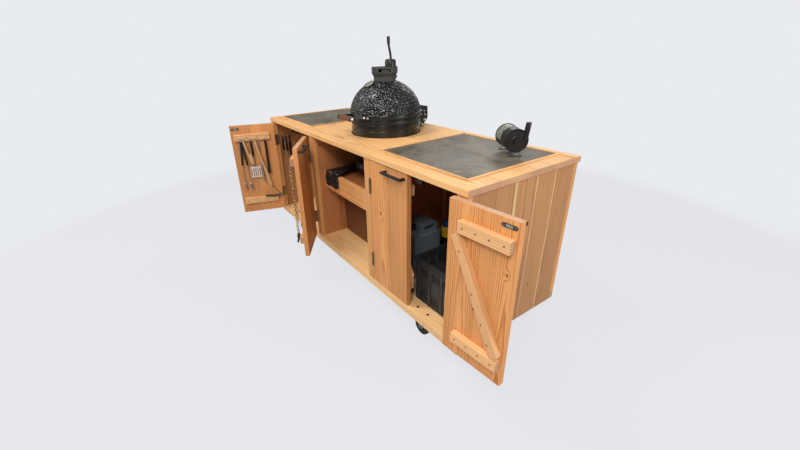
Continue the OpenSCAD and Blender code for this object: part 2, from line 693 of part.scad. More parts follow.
module upper_band() color("#202122") at_kamado() {
    difference() {
        union() {
            band(band_high_z);
            for (s = [-1, 1]) translate([s * (cheek_x - cheek_t - 1), 0, 0]) hinge_cheek([
                [band_r * 0.95, band_high_z], [band_r * 0.95, house_z - 9], [band_r + 14, house_z],
                [house_y - 2, house_z - 12], [house_y, pin_k[1] + 14], [house_y - 6, pin_k[1] - 4],
                [house_y - 19, pin_k[1] - 16], [house_y - 42, pin_k[1] - 16], [band_r + 18, pin_k[1] + 2],
                [band_r + 9, band_low_z + 2], [band_r + 9, band_high_z]], cheek_t);
            rotate([90, 0, 90]) linear_extrude(2 * (cheek_x - cheek_t - 1), center = true) polygon([
                [band_r + 9, house_z - 3.5], [band_r + 14, house_z], [house_y - 2, house_z - 12],
                [house_y, pin_k[1] + 14], [house_y - 6, pin_k[1] - 4], [house_y - 10, pin_k[1] - 3],
                [house_y - 4, pin_k[1] + 14.5], [house_y - 5.5, house_z - 15.5], [band_r + 14, house_z - 4],
                [band_r + 9, house_z - 7.5]]);
            for (s = [-1, 1]) translate([s * (bar_len / 2 + 3), 0, 0]) rotate([90, 0, 90])
                linear_extrude(6, center = true) polygon([
                    [-band_r + 24, band_high_z], [-band_r + 24, band_high_z + band_h],
                    [bar_y - kamado_y - 12, bar_z + 12], [bar_y - kamado_y - 12, bar_z - 12],
                    [bar_y - kamado_y + 12, bar_z - 14]]);
        }
        translate([0, 0, band_high_z - 30]) cylinder(r = band_r - band_t, h = 90, $fn = 128);
        translate([0, 0, band_high_z + band_h]) cylinder(r = dome_r + seat, h = 60, $fn = 128);
    }
    translate([-bar_len / 2 - 12, bar_y - kamado_y, bar_z]) rotate([0, 90, 0]) cylinder(r = rod_r, h = bar_len + 24);
    for (s = [-1, 1]) translate([s * (bar_len / 2 + 9), bar_y - kamado_y, bar_z]) rotate([0, 90, 0])
        cylinder(r = 7.5, h = 6, center = true);
}

module handle_bar() color("#7a4a22") at_kamado() difference() {
    translate([-bar_len / 2 + seat, bar_y - kamado_y - bar_d / 2, bar_z - bar_h / 2]) rotate([90, 0, 90])
        linear_extrude(bar_len - 2 * seat) round_rect([bar_d, bar_h], 6);
    translate([-bar_len, bar_y - kamado_y, bar_z]) rotate([0, 90, 0]) cylinder(r = rod_r + run, h = 2 * bar_len);
}

// Frame of the draught opening, shaped to the base, with a slot for its sliding door
module draught_frame() color("#5f6264") at_kamado() difference() {
    span([-75, frame_y - 10, draught_z - 30], [75, frame_y + 40, draught_z + 30]);
    translate([0, 0, 0]) revolve_base(-seat);
    span([-40, -rim_r, draught_z - 16], [40, 0, draught_z + 16]);
    span([-41 - draught_travel, frame_y - 7, draught_z - 22], [41 + draught_travel, frame_y - 4, draught_z + 22]);
    span([-46, frame_y - 11, draught_z - 18], [46, frame_y - 5, draught_z + 18]);
}

module draught_door() color("#a8aaab") at_kamado() {
    span([-44, frame_y - 6.5, draught_z - 21.6], [44, frame_y - 4.5, draught_z + 21.6]);
    translate([-30, frame_y - 5, draught_z]) rotate([90, 0, 0]) cylinder(r = 6, h = 14);
}

// Place on the dome's front for the thermometer, with Z outwards
module at_gauge() {
    slope = atan2(dome_r * sin(gauge_a), dome_h * cos(gauge_a));
    translate([0, -dome_r * cos(gauge_a), dome_z + dome_h * sin(gauge_a)]) rotate([90 - slope, 0, 0]) children();
}

module kamado_dome() color("#191a1a") at_kamado() difference() {
    rotate_extrude($fn = 96) polygon(concat([[rim_r - ceramic_t, split_z], [rim_r, split_z], [rim_r, lip_z - 3]],
        dome_curve(0, lip_z, collar_r), [[neck_r, collar_z]],
        [for (i = [14 : -1 : 0]) dome_curve(ceramic_t, lip_z, neck_r)[i]]));
    at_gauge() translate([0, 0, -60]) cylinder(r = 4.5 + run, h = 80);
    at_gauge() translate([0, 0, -1]) cylinder(r = 15, h = 20);
}

module thermometer() color("#b9b9b0") at_kamado() at_gauge() {
    translate([0, 0, -60]) cylinder(r = 4.5, h = 62);
    translate([0, 0, -1 + seat]) cylinder(r = 14.5, h = 4);
    translate([0, 0, 3]) cylinder(r = gauge_r, h = 9);
}

// Collar on the dome with a rib at its back, and the windowed sleeve that the vent cap turns on
module chimney_collar() color("#2b2c2c") at_kamado() difference() {
    union() {
        translate([0, 0, collar_z]) ring(neck_r, collar_r, collar_h);
        translate([0, 0, cap_z - 1]) ring(cap_r - 19, cap_r - 14, cap_h - 8);
        translate([-8, 0, 0]) rotate([90, 0, 90]) linear_extrude(16) polygon([
            [collar_r - 4, collar_z + 2], [collar_r + 6, collar_z + 2], [cap_r + 10, cap_z - 8],
            [cap_r + 10, cap_z - 1], [collar_r - 4, cap_z - 1]]);
    }
    cap_cuts(cap_r - 30, cap_r - 10, sleeve_at, sleeve_a);
}

// Cuts for the windows, from one radius to another, each of one width about its middle
module cap_cuts(r0, r1, middle, width)
    for (i = [0 : cap_windows - 1]) rotate([0, 0, i * 360 / cap_windows + middle - width / 2])
        translate([0, 0, cap_z + 24]) rotate_extrude(angle = width) translate([r0, 0]) square([r1 - r0, 20]);

// Vent cap with a rib at its front and back, and the lamp that stands on it
module vent_cap() color("#2f302f") at_kamado() {
    difference() {
        union() {
            translate([0, 0, cap_z + seat]) cylinder(r1 = collar_r + 1, r2 = cap_r, h = 18);
            translate([0, 0, cap_z + 18]) cylinder(r = cap_r, h = cap_h - 18);
            span([-8, cap_r - 6, cap_z + 20], [8, cap_r + 14, cap_z + cap_h - 3]);
            span([-8, -cap_r - 8, cap_z + 20], [8, -cap_r + 6, cap_z + cap_h - 3]);
        }
        translate([0, 0, cap_z - 1]) cylinder(r = cap_r - 14 + free, h = 22);
        translate([0, 0, cap_z + 20]) cylinder(r = cap_r - 8, h = cap_h - 28);
        cap_cuts(cap_r - 20, cap_r + 2, window_at, window_a);
    }
    translate([0, 0, cap_z + cap_h + seat]) rotate([0, 0, window_at + 91]) translate([cap_r - lamp_r - 9, 0, 0])
        cap_lamp();
}

// Lamp: round foot, bent stalk, head
module cap_lamp() {
    bend = [[3, 0, lamp_foot - 2], [0, 0, lamp_foot + lamp_len * 0.27], [-6, 0, lamp_foot + lamp_len * 0.52],
        [-9, 0, lamp_foot + lamp_len * 0.66], [-10, 0, lamp_foot + lamp_len]];
    rotate_extrude() polygon([[0, 0], [lamp_r, 0], [lamp_r, lamp_foot * 0.7], [lamp_r - 4, lamp_foot * 0.93],
        [lamp_r - 10, lamp_foot], [0, lamp_foot]]);
    for (i = [0 : 2]) {
        rod(bend[i], bend[i + 1], 6.5);
        translate(bend[i + 1]) sphere(r = 6.8, $fn = 24);
    }
    rod(bend[3], bend[4], 9);
}

// Middles of the slots along a wall, four to a panel
function panel_slots(length, panels) = [for (p = [0 : panels - 1], i = [-1.5 : 1.5])
    22 + (p + 0.5) * (length - 44) / panels + i * 15];

// Crate: floor, walls with two rows of slots, a rim that stands out
module crate() color("#1c1d1e") translate(crate_pos) difference() {
    union() {
        cube([crate_w, crate_l, crate_h]);
        translate([-5, -5, crate_h - 28]) cube([crate_w + 10, crate_l + 10, 28]);
    }
    translate([crate_t, crate_t, crate_t]) cube([crate_w - 2 * crate_t, crate_l - 2 * crate_t, crate_h]);
    for (z = [24, crate_h - 88]) {
        for (x = panel_slots(crate_w, 3)) translate([x - 3.5, -9, z]) cube([7, crate_l + 18, 46]);
        for (y = panel_slots(crate_l, 4)) translate([-9, y - 3.5, z]) cube([crate_w + 18, 7, 46]);
    }
}

// A pouch, two bottles and a box on the crate's floor, and a bottle that stands behind the jerrycan
module crate_contents() color("#252525") {
    translate(crate_pos + [crate_t, crate_t, crate_t]) {
        w = crate_w - 2 * crate_t;
        l = crate_l - 2 * crate_t;
        h = crate_h - crate_t;
        span([w * 0.03, l * 0.02, 0], [w * 0.44, l * 0.38, h * 0.75]);
        translate([w * 0.65, l * 0.18, 0]) cylinder(r = w * 0.135, h = h * 0.85);
        translate([w * 0.24, l * 0.56, 0]) cylinder(r = w * 0.115, h = h * 0.92);
        span([w * 0.44, l * 0.51, 0], [w * 0.96, l * 0.96, h * 0.59]);
    }
    translate(bottle_pos) cylinder(r = bottle_r, h = bottle_h * 0.88);
    translate(bottle_pos + [0, 0, bottle_h * 0.88 - 1]) cylinder(r = bottle_r * 0.8, h = bottle_h * 0.12 + 1);
}

// Jerrycan: body, handle arch with its hole, screw cap in front of the arch
module jerrycan() color("#aab4ba") translate(can_pos) {
    body_h = can_h * 0.79;
    difference() {
        union() {
            linear_extrude(body_h) round_rect([can_w, can_l], 22);
            translate([5, can_l * 0.22, body_h - 40]) rotate([90, 0, 90]) linear_extrude(can_w - 10)
                round_rect([can_l * 0.62, can_h - body_h + 40], 28);
        }
        translate([-1, can_l * 0.32, can_h - 44]) rotate([90, 0, 90]) linear_extrude(can_w + 2)
            round_rect([can_l * 0.42, 25], 12);
    }
    translate([can_w * 0.5, can_l * 0.115, body_h - 1]) cylinder(r = 17, h = can_h * 0.15);
    translate([can_w * 0.5, can_l * 0.115, body_h + can_h * 0.09]) cylinder(r = 20, h = can_h * 0.075);
}

// A glove over the rail: cuff on the shelf, turned and raised by the glove below, fingers down the rail's front
module glove(x, turn, rise, length) translate([x, rail_y, shelf_z + rail_lip]) {
    translate([0, 4, seat + rise]) rotate([0, 0, turn]) span([-34, 0, 0], [48, length, 20]);
    span([-36, -14, seat], [49, 12, 22 + rise]);
    span([-36, -14, -42], [49, -seat, 2]);
    for (i = [0 : 3]) translate([-25 + i * 21, -7.3, -74 - 12 * sin(45 + i * 45)]) {
        cylinder(r = 7, h = 60 + 12 * sin(45 + i * 45), $fn = 24);
        sphere(r = 7, $fn = 24);
    }
}

// Two gloves, the right one lying over the left one
module gloves() color("#141414") {
    glove(bay2_x[0] + 60, 0, 0, glove_l);
    glove(bay2_x[0] + 146, 14, 22, glove_l - 55);
}

// Fan drum lying on two wire feet, with a spout at its near end
module wire_foot() {
    for (s = [-1, 1]) {
        translate([s * 20, 0, -fan_r + 7]) rotate([0, s * 25, 0]) translate([0, 0, -4])
            mirror([0, 0, 1]) cylinder(r = 2, h = fan_foot + 1.6, $fn = 16);
    }
    translate([-34, 0, -fan_r - fan_foot + 2]) rotate([0, 90, 0]) cylinder(r = 2, h = 68, $fn = 16);
}
module fan() color("#232423") translate(fan_pos) rotate([0, 0, fan_turn - 90]) {
    rotate([90, 0, 0]) translate([0, 0, -fan_len / 2]) {
        cylinder(r = fan_r - 2, h = fan_len);
        for (z = [0, fan_len - 8]) translate([0, 0, z]) cylinder(r = fan_r, h = 8);
    }
    for (y = [-fan_len / 2 + 4, fan_len / 2 - 4]) translate([0, y, 0]) wire_foot();
    translate([0, -fan_len / 2 + 20, 0]) rotate([90, 0, 0]) linear_extrude(20) polygon([
        [fan_r - 24, 0], [fan_r - 5, 0], [fan_r + 3, fan_r + fan_spout], [fan_r - 14, fan_r + fan_spout]]);
    translate([0, -fan_len / 2, 0]) rotate([90, 0, 0]) cylinder(r = 7, h = 8);
}

// A straight rod between two points
module rod(a, b, r) {
    d = b - a;
    len = norm(d);
    translate(a) rotate([0, acos(d[2] / len), atan2(d[1], d[0])]) cylinder(r = r, h = len, $fn = 24);
}

// A screw hook with an upturned end, standing out along Y
module hook(r = hook_r) {
    rod([0, 0, 0], [0, 12, 0], r);
    rod([0, 12, -r], [0, 12, 8], r);
}

// The wire ring at the top of a tool, hanging on a hook
module hang_ring() translate([0, 6, hook_r + seat - ring_r + hook_r]) rotate([90, 0, 0])
    rotate_extrude($fn = 32) translate([ring_r, 0]) circle(hook_r, $fn = 16);

// Grilling tools on hooks under the left door's upper ledge, in closed-door coordinates
module door_a_tools() color("#57534c") on_door(door_a) {
    t = ledge_v + 6;
    top = tool_hook_z - tool_drop;
    for (u = [262, 244, 190, 158, 132, 80]) translate([u, ledge_v, tool_hook_z]) {
        hook();
        hang_ring();
    }
    // Tongs with two grips
    rod([262, t, top], [280, t, top - 188], 7);
    rod([258, t, top - 8], [240, t + 16, top - 188], 7);
    rod([280, t, top - 186], [282, t, top - 392], 3);
    rod([240, t + 16, top - 186], [238, t + 16, top - 392], 3);
    // Wooden paddle
    rod([244, t, top], [206, t + 22, top - 170], 5);
    // Spatula: handle, neck, blade
    rod([190, t, top], [187, t, top - 120], 7);
    rod([187, t, top - 118], [185, t, top - 212], 3);
    span([149, t - 1, top - 293], [221, t + 2, top - 209]);
    // Wooden handle with a wire triangle and a scraper bar
    rod([158, t, top], [150, t + 13, top - 40], 6);
    rod([150, t + 13, top - 38], [80, t + 14, top - 372], 6);
    rod([80, t + 14, top - 370], [16, t + 14, top - 452], 2);
    rod([80, t + 14, top - 370], [130, t + 14, top - 452], 2);
    rod([4, t + 14, top - 458], [142, t + 14, top - 454], 9);
    // Poker: rod and grip
    rod([132, t, top], [133, t, top - 190], 3);
    rod([133, t, top - 188], [128, t + 3, top - 340], 6);
    // Black grip with a loop
    rod([80, t, top], [82, t, top - 270], 10);
}

// Long tongs, a skewer and a brush on hooks at the left side panel
module side_tools() color("#4d4a45") translate([cab_x0 + board_t, 0, tool_hook_z - 10]) rotate([0, 0, -90]) {
    for (y = side_tool_y) translate([-y, 0, 0]) {
        hook();
        hang_ring();
    }
    rod([-side_tool_y[0], 6, -tool_drop], [-side_tool_y[0] + 6, 6, -180], 3);
    rod([-side_tool_y[1], 6, -tool_drop], [-side_tool_y[1] - 4, 6, -190], 3);
    span([-side_tool_y[2] - 12, 3, -170], [-side_tool_y[2] + 12, 9, -tool_drop]);
}

worktop_planks();
worktop_tiles();
tile_trim();
upright_battens();
side_planks();
divider_planks();
back_wall_planks();
deck_planks();
shelf_rails();
shelf_planks();
niche_back_boards();
magnetic_catches();
hinge_frame_halves();
castor_plates();
castor_bolts();
kamado_base();
kamado_feet();
firebox();
grates();
base_gasket();
lower_band();
draught_frame();
draught_door();
kamado_dome();
upper_band();
handle_bar();
thermometer();
chimney_collar();
vent_cap();
door_leaf(door_a);  // door_a_leaf
door_handle(door_a);  // door_a_handle
door_hinges(door_a);  // door_a_hinges
door_catch_plate(door_a);  // door_a_catch_plate
door_leaf(door_b);  // door_b_leaf
door_handle(door_b);  // door_b_handle
door_hinges(door_b);  // door_b_hinges
door_catch_plate(door_b);  // door_b_catch_plate
door_leaf(door_d);  // door_d_leaf
door_handle(door_d);  // door_d_handle
door_hinges(door_d);  // door_d_hinges
door_catch_plate(door_d);  // door_d_catch_plate
door_leaf(door_e);  // door_e_leaf
door_handle(door_e);  // door_e_handle
door_hinges(door_e);  // door_e_hinges
door_catch_plate(door_e);  // door_e_catch_plate
castor_fork(castor_x[0], castor_y[0]);  // castor_fork_fl
castor_fork(castor_x[1], castor_y[0]);  // castor_fork_fr
castor_fork(castor_x[0], castor_y[1]);  // castor_fork_bl
castor_fork(castor_x[1], castor_y[1]);  // castor_fork_br
castor_wheel(castor_x[0], castor_y[0]);  // castor_wheel_fl
castor_wheel(castor_x[1], castor_y[0]);  // castor_wheel_fr
castor_wheel(castor_x[0], castor_y[1]);  // castor_wheel_bl
castor_wheel(castor_x[1], castor_y[1]);  // castor_wheel_br
crate();
crate_contents();
jerrycan();
gloves();
fan();
door_a_tools();
side_tools();
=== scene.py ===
import json
import math
import random
from functools import partialmethod

import bmesh
import bpy
from bpy.props import FloatProperty, FloatVectorProperty, IntProperty, PointerProperty
from mathutils import Matrix, Vector, noise

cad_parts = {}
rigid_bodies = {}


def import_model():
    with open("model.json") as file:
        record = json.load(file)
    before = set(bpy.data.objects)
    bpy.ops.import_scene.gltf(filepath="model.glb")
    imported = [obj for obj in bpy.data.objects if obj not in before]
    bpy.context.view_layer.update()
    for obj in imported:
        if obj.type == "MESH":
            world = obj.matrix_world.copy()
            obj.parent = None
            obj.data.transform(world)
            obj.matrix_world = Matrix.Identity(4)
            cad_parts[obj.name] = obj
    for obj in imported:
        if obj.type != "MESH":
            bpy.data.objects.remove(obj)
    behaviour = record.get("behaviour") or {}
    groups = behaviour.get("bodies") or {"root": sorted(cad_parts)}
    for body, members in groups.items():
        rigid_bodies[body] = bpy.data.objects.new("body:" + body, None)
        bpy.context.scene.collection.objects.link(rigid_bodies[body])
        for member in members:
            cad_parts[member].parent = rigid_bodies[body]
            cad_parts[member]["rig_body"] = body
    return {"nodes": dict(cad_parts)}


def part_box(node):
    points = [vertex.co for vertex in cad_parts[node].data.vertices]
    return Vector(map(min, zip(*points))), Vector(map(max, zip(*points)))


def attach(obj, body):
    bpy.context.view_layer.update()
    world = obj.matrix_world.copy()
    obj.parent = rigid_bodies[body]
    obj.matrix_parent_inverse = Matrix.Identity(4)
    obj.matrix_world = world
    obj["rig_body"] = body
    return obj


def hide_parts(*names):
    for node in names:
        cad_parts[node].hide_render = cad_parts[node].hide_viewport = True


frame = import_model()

bl_info = {
    "name": "Outdoor kitchen",
    "version": (1, 0, 0),
    "blender": (4, 5, 0),
    "location": "3D View > Sidebar > Kitchen",
    "description": "Timber, tiles, kamado and stored gear of an outdoor kitchen, set on its frame",
    "category": "Object",
}

# Doors: pin x, side that the closed leaf runs to, opening angle, leaf width, ledge insets at the pin and beyond
PIN_Y = -0.376
PIN_GAP = 0.0015
DOORS = {
    "a": (-1.0125, 1, 108.5, 0.329, 0.040, 0.022),
    "b": (-0.3485, -1, 146.0, 0.329, 0.040, 0.022),
    "d": (0.3975, 1, 0.0, 0.3045, 0.066, 0.011),
    "e": (1.0125, -1, 183.7, 0.3045, 0.066, 0.011),
}
# Door ledges: their face behind the pins and the levels of their middles
LEDGE_FACE = 0.0622
LEDGES = (0.285, 0.807)
KAMADO = Vector((-0.010, 0.019, 0.0))
# Dome: radius, height and level of its widest ring
DOME = (0.217, 0.200, 1.040)
UP = Vector((0, 0, 1))


def mm(*values):
    """Millimetres, alone or in nested rows, as metres."""
    return tuple(mm(*v) if isinstance(v, tuple) else v / 1000 for v in values)


def tint(code):
    """A written colour as the linear values that the shaders take."""
    parts = [int(code[i:i + 2], 16) / 255 for i in (1, 3, 5)]
    return tuple(c / 12.92 if c <= 0.04045 else ((c + 0.055) / 1.055) ** 2.4 for c in parts)


def colour(code, words):
    return FloatVectorProperty(name=words.capitalize(), description="Colour of the " + words,
                               default=tint(code), subtype="COLOR", size=3, min=0, max=1)


def length(size, words):
    return FloatProperty(name=words.capitalize(), description=words.capitalize(), default=size / 1000,
                         unit="LENGTH", subtype="DISTANCE", min=0)


# Sizes and colours that a user would change

class TimberSettings(bpy.types.PropertyGroup):
    """Boards, their grain and their rounded edges."""
    round_over: length(1.6, "rounding of the board edges")
    ring_width: length(5.8, "mean width of a growth ring")
    top_early: colour("#ebb97a", "pale wood of the worktop")
    top_late: colour("#bd7a40", "dark rings of the worktop")
    front_early: colour("#da9f60", "pale wood of the fronts")
    front_late: colour("#b06a38", "dark rings of the fronts")
    side_early: colour("#b48355", "pale wood of the sides")
    side_late: colour("#875129", "dark rings of the sides")
    inner_early: colour("#b9794a", "pale wood inside")
    inner_late: colour("#8a4c28", "dark rings inside")
    door_early: colour("#e09e5f", "pale wood of the doors")
    door_late: colour("#a85f29", "dark rings of the doors")
    sapwood: colour("#e3c08c", "sapwood")
    end_early: colour("#c79b76", "pale wood of sawn ends")
    end_late: colour("#93654a", "dark rings of sawn ends")
    ledge_early: colour("#efba82", "pale wood of the ledges")
    ledge_late: colour("#b8763f", "dark rings of the ledges")
    # The deck's colours are lightened with painted light, for the direct light on its front strip
    deck_early: colour("#f0c48a", "pale wood of the deck")
    deck_late: colour("#d69a5c", "dark rings of the deck")
    # The rail's colours are lightened with painted light, though the rail sits in the shade of its bay
    rail_early: colour("#f4b272", "pale wood of the rail")
    rail_late: colour("#bd733c", "dark rings of the rail")
    # The niche's back boards are the inner wood darkened with painted shade from the deep niche
    deep_early: colour("#704629", "pale wood of the niche's back")
    deep_late: colour("#4f2810", "dark rings of the niche's back")
    knot: colour("#5f341c", "knots")


class TileSettings(bpy.types.PropertyGroup):
    """Stone-look tiles in the worktop."""
    round_over: length(0.8, "rounding of the tile edges")
    dark: colour("#4c463b", "dark clouds in the tiles")
    light: colour("#756d5e", "light clouds in the tiles")


class KamadoSettings(bpy.types.PropertyGroup):
    """Glazed ceramic grill with its steel bands."""
    glaze: colour("#121412", "glaze")
    dimple: length(12.5, "width of a dimple in the glaze")
    bands: colour("#191a1b", "clamping bands")
    clay: colour("#b9ad98", "fire clay")
    cap: colour("#3c3b38", "vent cap")
    steps: IntProperty(name="Steps round the grill", description="Steps of each turned bead", default=128, min=24)


class FittingSettings(bpy.types.PropertyGroup):
    """Handles, hinges, screws and castors."""
    black: colour("#151515", "powder coat")
    zinc: colour("#a3a5a4", "zinc plate")
    hinge: colour("#8d877a", "hinges")
    plate: colour("#2f3032", "catch plates")
    tyre: colour("#1a1a1b", "tyres")
    screw: length(4.0, "radius of a screw head")


class GearSettings(bpy.types.PropertyGroup):
    """Things that the kitchen stores."""
    crate: colour("#29292a", "crate")
    # The jerrycan's blue-grey, darkened with painted shade for the shaded bay it stands in
    can: colour("#6d7880", "jerrycan")
    leather: colour("#101011", "gloves")
    red: colour("#b3231b", "red plastic")
    yellow: colour("#c79a12", "yellow plastic")
    blue: colour("#1d4a86", "blue plastic")
    handle: colour("#cfa77a", "wooden tool handles")
    steel: colour("#a8a7a2", "tool steel")


class StageSettings(bpy.types.PropertyGroup):
    """Floor, lamps and camera."""
    backdrop: colour("#e9ebef", "floor and backdrop")
    lens: FloatProperty(name="Lens", description="Focal length on a 36 mm sensor, in mm", default=16.680, min=1)


# Materials

class Graph:
    """The nodes of one material or world, each added with one call."""

    def __init__(self, owner):
        self.owner = owner
        owner.use_nodes = True
        self.tree = owner.node_tree
        self.tree.nodes.clear()

    def feed(self, socket, value):
        if isinstance(value, bpy.types.NodeSocket):
            self.tree.links.new(value, socket)
        else:
            if socket.type == "RGBA" and len(value) == 3:
                value = (*value, 1.0)
            socket.default_value = value

    def add(self, kind, sockets=None, **settings):
        made = self.tree.nodes.new("ShaderNode" + kind)
        for key, value in settings.items():
            setattr(made, key, value)
        for key, value in (sockets or {}).items():
            self.feed(made.inputs[key], value)
        return made

    def math(self, operation, *values, clamp=False):
        return self.add("Math", dict(enumerate(values)), operation=operation, use_clamp=clamp).outputs[0]

    plus = partialmethod(math, "ADD")
    minus = partialmethod(math, "SUBTRACT")
    times = partialmethod(math, "MULTIPLY")
    over = partialmethod(math, "DIVIDE")
    scaled = partialmethod(math, "MULTIPLY_ADD")

    def vector(self, operation, *values):
        made = self.add("VectorMath", dict(enumerate(values)), operation=operation)
        return made.outputs["Value" if operation == "LENGTH" else "Vector"]

    def hypot(self, a, b):
        return self.math("SQRT", self.plus(self.times(a, a), self.times(b, b)))

    def place(self, scale=(1, 1, 1), shift=None, source=None):
        """Object coordinates, scaled, or another vector scaled and shifted."""
        at = source or self.add("TexCoord").outputs["Object"]
        at = self.vector("MULTIPLY", at, tuple(scale))
        return self.vector("ADD", at, shift) if shift is not None else at

    def attribute(self, name):
        return self.add("Attribute", attribute_name=name).outputs["Vector"]

    def split(self, vector):
        return self.add("SeparateXYZ", {0: vector}).outputs

    def noise(self, at, scale, detail=3.0, rough=0.55, colour=False, warp=0.0):
        made = self.add("TexNoise", {"Vector": at, "Scale": scale, "Detail": detail, "Roughness": rough,
                                     "Distortion": warp})
        return made.outputs["Color" if colour else "Fac"]

    def ramp(self, value, *stops):
        """A grey ramp through (place, level) stops."""
        made = self.add("ValToRGB", {0: value})
        items = made.color_ramp.elements
        while len(items) < len(stops):
            items.new(0.5)
        for item, (place, level) in zip(items, stops):
            item.position = place
            item.color = (level, level, level, 1)
        return made.outputs["Color"]

    def patches(self, value, low=0.4, high=0.8):
        """The upper part of a noise, from none at low to all at high."""
        return self.ramp(value, (low, 0.0), (high, 1.0))

    def mix(self, share, a, b, blend="MIX"):
        return self.add("Mix", {0: share, 6: a, 7: b}, data_type="RGBA", blend_type=blend).outputs[2]

    def smooth(self, value, low, high):
        made = self.add("MapRange", {"Value": value, "From Min": low, "From Max": high},
                        interpolation_type="SMOOTHSTEP")
        return made.outputs["Result"]

    def bump(self, height, distance, strength):
        made = self.add("Bump", {"Height": height, "Distance": distance, "Strength": strength})
        return made.outputs["Normal"]

    def surface(self, **sockets):
        """Ends the material with one shader."""
        shader = self.add("BsdfPrincipled", {k.replace("_", " "): v for k, v in sockets.items()})
        self.add("OutputMaterial", {"Surface": shader.outputs[0]})
        return self.owner


def material(name):
    return Graph(bpy.data.materials.new(name))


def shaded(base, factor, lift=0.0):
    """A colour made darker or lighter."""
    return tuple(min(c * factor + lift, 1) for c in base)


def softwood(name, early, late, sap, knot, ring, contrast, sap_edge=0.045, gloss=0.0):
    """Sawn softwood: growth rings cut by each board's own faces, fibres, sapwood, knots that bend the rings."""
    g = material(name)
    at = g.attribute("grain")
    own = g.attribute("board")
    ox, oy, oz = g.split(own)
    shift = g.vector("MULTIPLY", own, (7.1, 5.3, 9.7))
    slow = g.noise(g.place((1.0, 5, 5), shift, at), 1.0, 2.0, colour=True)
    sway = g.vector("MULTIPLY", g.vector("SUBTRACT", slow, (0.5, 0.5, 0.5)), (0, 0.022, 0.022))
    x, y, z = g.split(g.vector("ADD", at, sway))

    # Rings round a pith that lies elsewhere in each board and leans along it
    pith_y, pith_z = g.scaled(ox, 0.22, -0.11), g.scaled(oy, -0.09, -0.022)
    radius = g.scaled(x, g.scaled(oz, 0.024, -0.008), g.hypot(g.minus(y, pith_y), g.minus(z, pith_z)))
    heart = 0.0
    for key in ("knot_a", "knot_b"):
        kx, ky, kr = g.split(g.attribute(key))
        away = g.hypot(g.times(g.minus(x, kx), 0.62), g.minus(y, ky))
        near = g.over(away, g.times(kr, 2.1))
        hill = g.math("EXPONENT", g.times(g.times(near, near), -1.0))
        radius = g.plus(radius, g.times(hill, g.times(kr, 1.5)))
        inside = g.minus(1.0, g.smooth(g.over(away, g.math("MAXIMUM", kr, 0.0001)), 0.55, 1.05))
        inside = g.times(inside, g.math("GREATER_THAN", kr, 0.001))
        heart = g.math("MAXIMUM", inside, heart)

    # Each year's line, from pale early wood to a dark late edge, broken by fibres
    wobble = g.noise(g.place((2.2, 26, 26), shift, at), 1.0, 2.0)
    turn = g.plus(g.over(radius, ring), g.times(wobble, 1.6))
    year = g.add("TexWhiteNoise", {"W": g.math("FLOOR", turn)}, noise_dimensions="1D").outputs["Value"]
    line = g.ramp(g.math("FRACT", turn), (0.0, 0.10), (0.45, 0.22), (0.80, 0.92), (0.93, 1.0), (1.0, 0.12))
    line = g.times(line, g.scaled(year, 0.55, 0.45))
    fibre = g.noise(g.place((9, 620, 620), shift, at), 1.0, 4.0, 0.65)
    line = g.plus(line, g.scaled(fibre, 0.9, -0.45), clamp=True)

    # Colour: rings, sapwood at one edge, a tone for each board, knots
    cloud = g.noise(g.place((1.6, 9, 9), shift, at), 1.0, 3.0)
    shade = g.mix(g.times(line, contrast), early, late)
    pale = g.smooth(g.minus(g.scaled(cloud, 0.02, y), g.scaled(oz, 0.10, sap_edge)), 0.0, 0.004)
    shade = g.mix(g.times(pale, 0.72), shade, g.mix(g.times(line, 0.4), sap, early))
    tone = g.times(g.scaled(cloud, 0.5, 0.75), g.scaled(ox, 0.22, 0.89))
    shade = g.mix(1.0, shade, g.add("CombineXYZ", {0: tone, 1: tone, 2: tone}).outputs[0], "MULTIPLY")
    dark = g.mix(g.noise(g.place((60, 200, 200), shift, at), 1.0, 2.0), knot, late)
    height = g.plus(g.times(line, 0.5), g.times(fibre, 0.5))
    return g.surface(Base_Color=g.mix(heart, shade, dark), Roughness=g.scaled(line, 0.10, 0.46 - gloss),
                     Normal=g.bump(height, 0.0006, 0.35))


def stone(name, dark, light):
    """Porcelain tile with a cloudy stone look."""
    g = material(name)
    at = g.place()
    clouds = g.noise(at, 5.5, 6.0, 0.62, warp=0.6)
    veins = g.noise(at, 24.0, 5.0, 0.6, warp=0.3)
    grit = g.noise(at, 420.0, 2.0)
    shade = g.mix(g.patches(clouds, 0.34, 0.68), dark, light)
    shade = g.mix(g.times(g.patches(veins, 0.52, 0.72), 0.45), shade, shaded(light, 1.7))
    shade = g.mix(g.times(g.patches(grit, 0.55, 0.75), 0.30), shade, shaded(dark, 0.45))
    height = g.plus(g.times(clouds, 0.6), g.times(grit, 0.4))
    return g.surface(Base_Color=shade, Roughness=g.scaled(veins, 0.25, 0.36), Normal=g.bump(height, 0.0006, 0.4))


def glaze(name, base):
    """Dark glaze over pulled dimples, glossy, with a fine skin of its own."""
    g = material(name)
    at = g.place()
    fine = g.noise(at, 260.0)
    wear = g.patches(g.noise(at, 9.0, 4.0), 0.45)
    shade = g.mix(g.times(wear, 0.5), base, shaded(base, 1.7, 0.002))
    return g.surface(Base_Color=shade, Roughness=g.scaled(fine, 0.06, 0.05), Normal=g.bump(fine, 0.0010, 0.6))


def coat(name, base, rough=0.45, grain=900.0, depth=0.00012):
    """Powder coat, enamel or moulded plastic: an even colour with its own fine skin."""
    g = material(name)
    at = g.place()
    skin = g.noise(at, grain)
    dust = g.patches(g.noise(at, 14.0, 5.0, 0.6))
    shade = g.mix(g.times(dust, 0.5), base, shaded(base, 1.5, 0.004))
    sheen = g.plus(g.times(dust, 0.12), g.scaled(skin, 0.10, rough - 0.05))
    return g.surface(Base_Color=shade, Roughness=sheen, Normal=g.bump(skin, depth, 0.5))


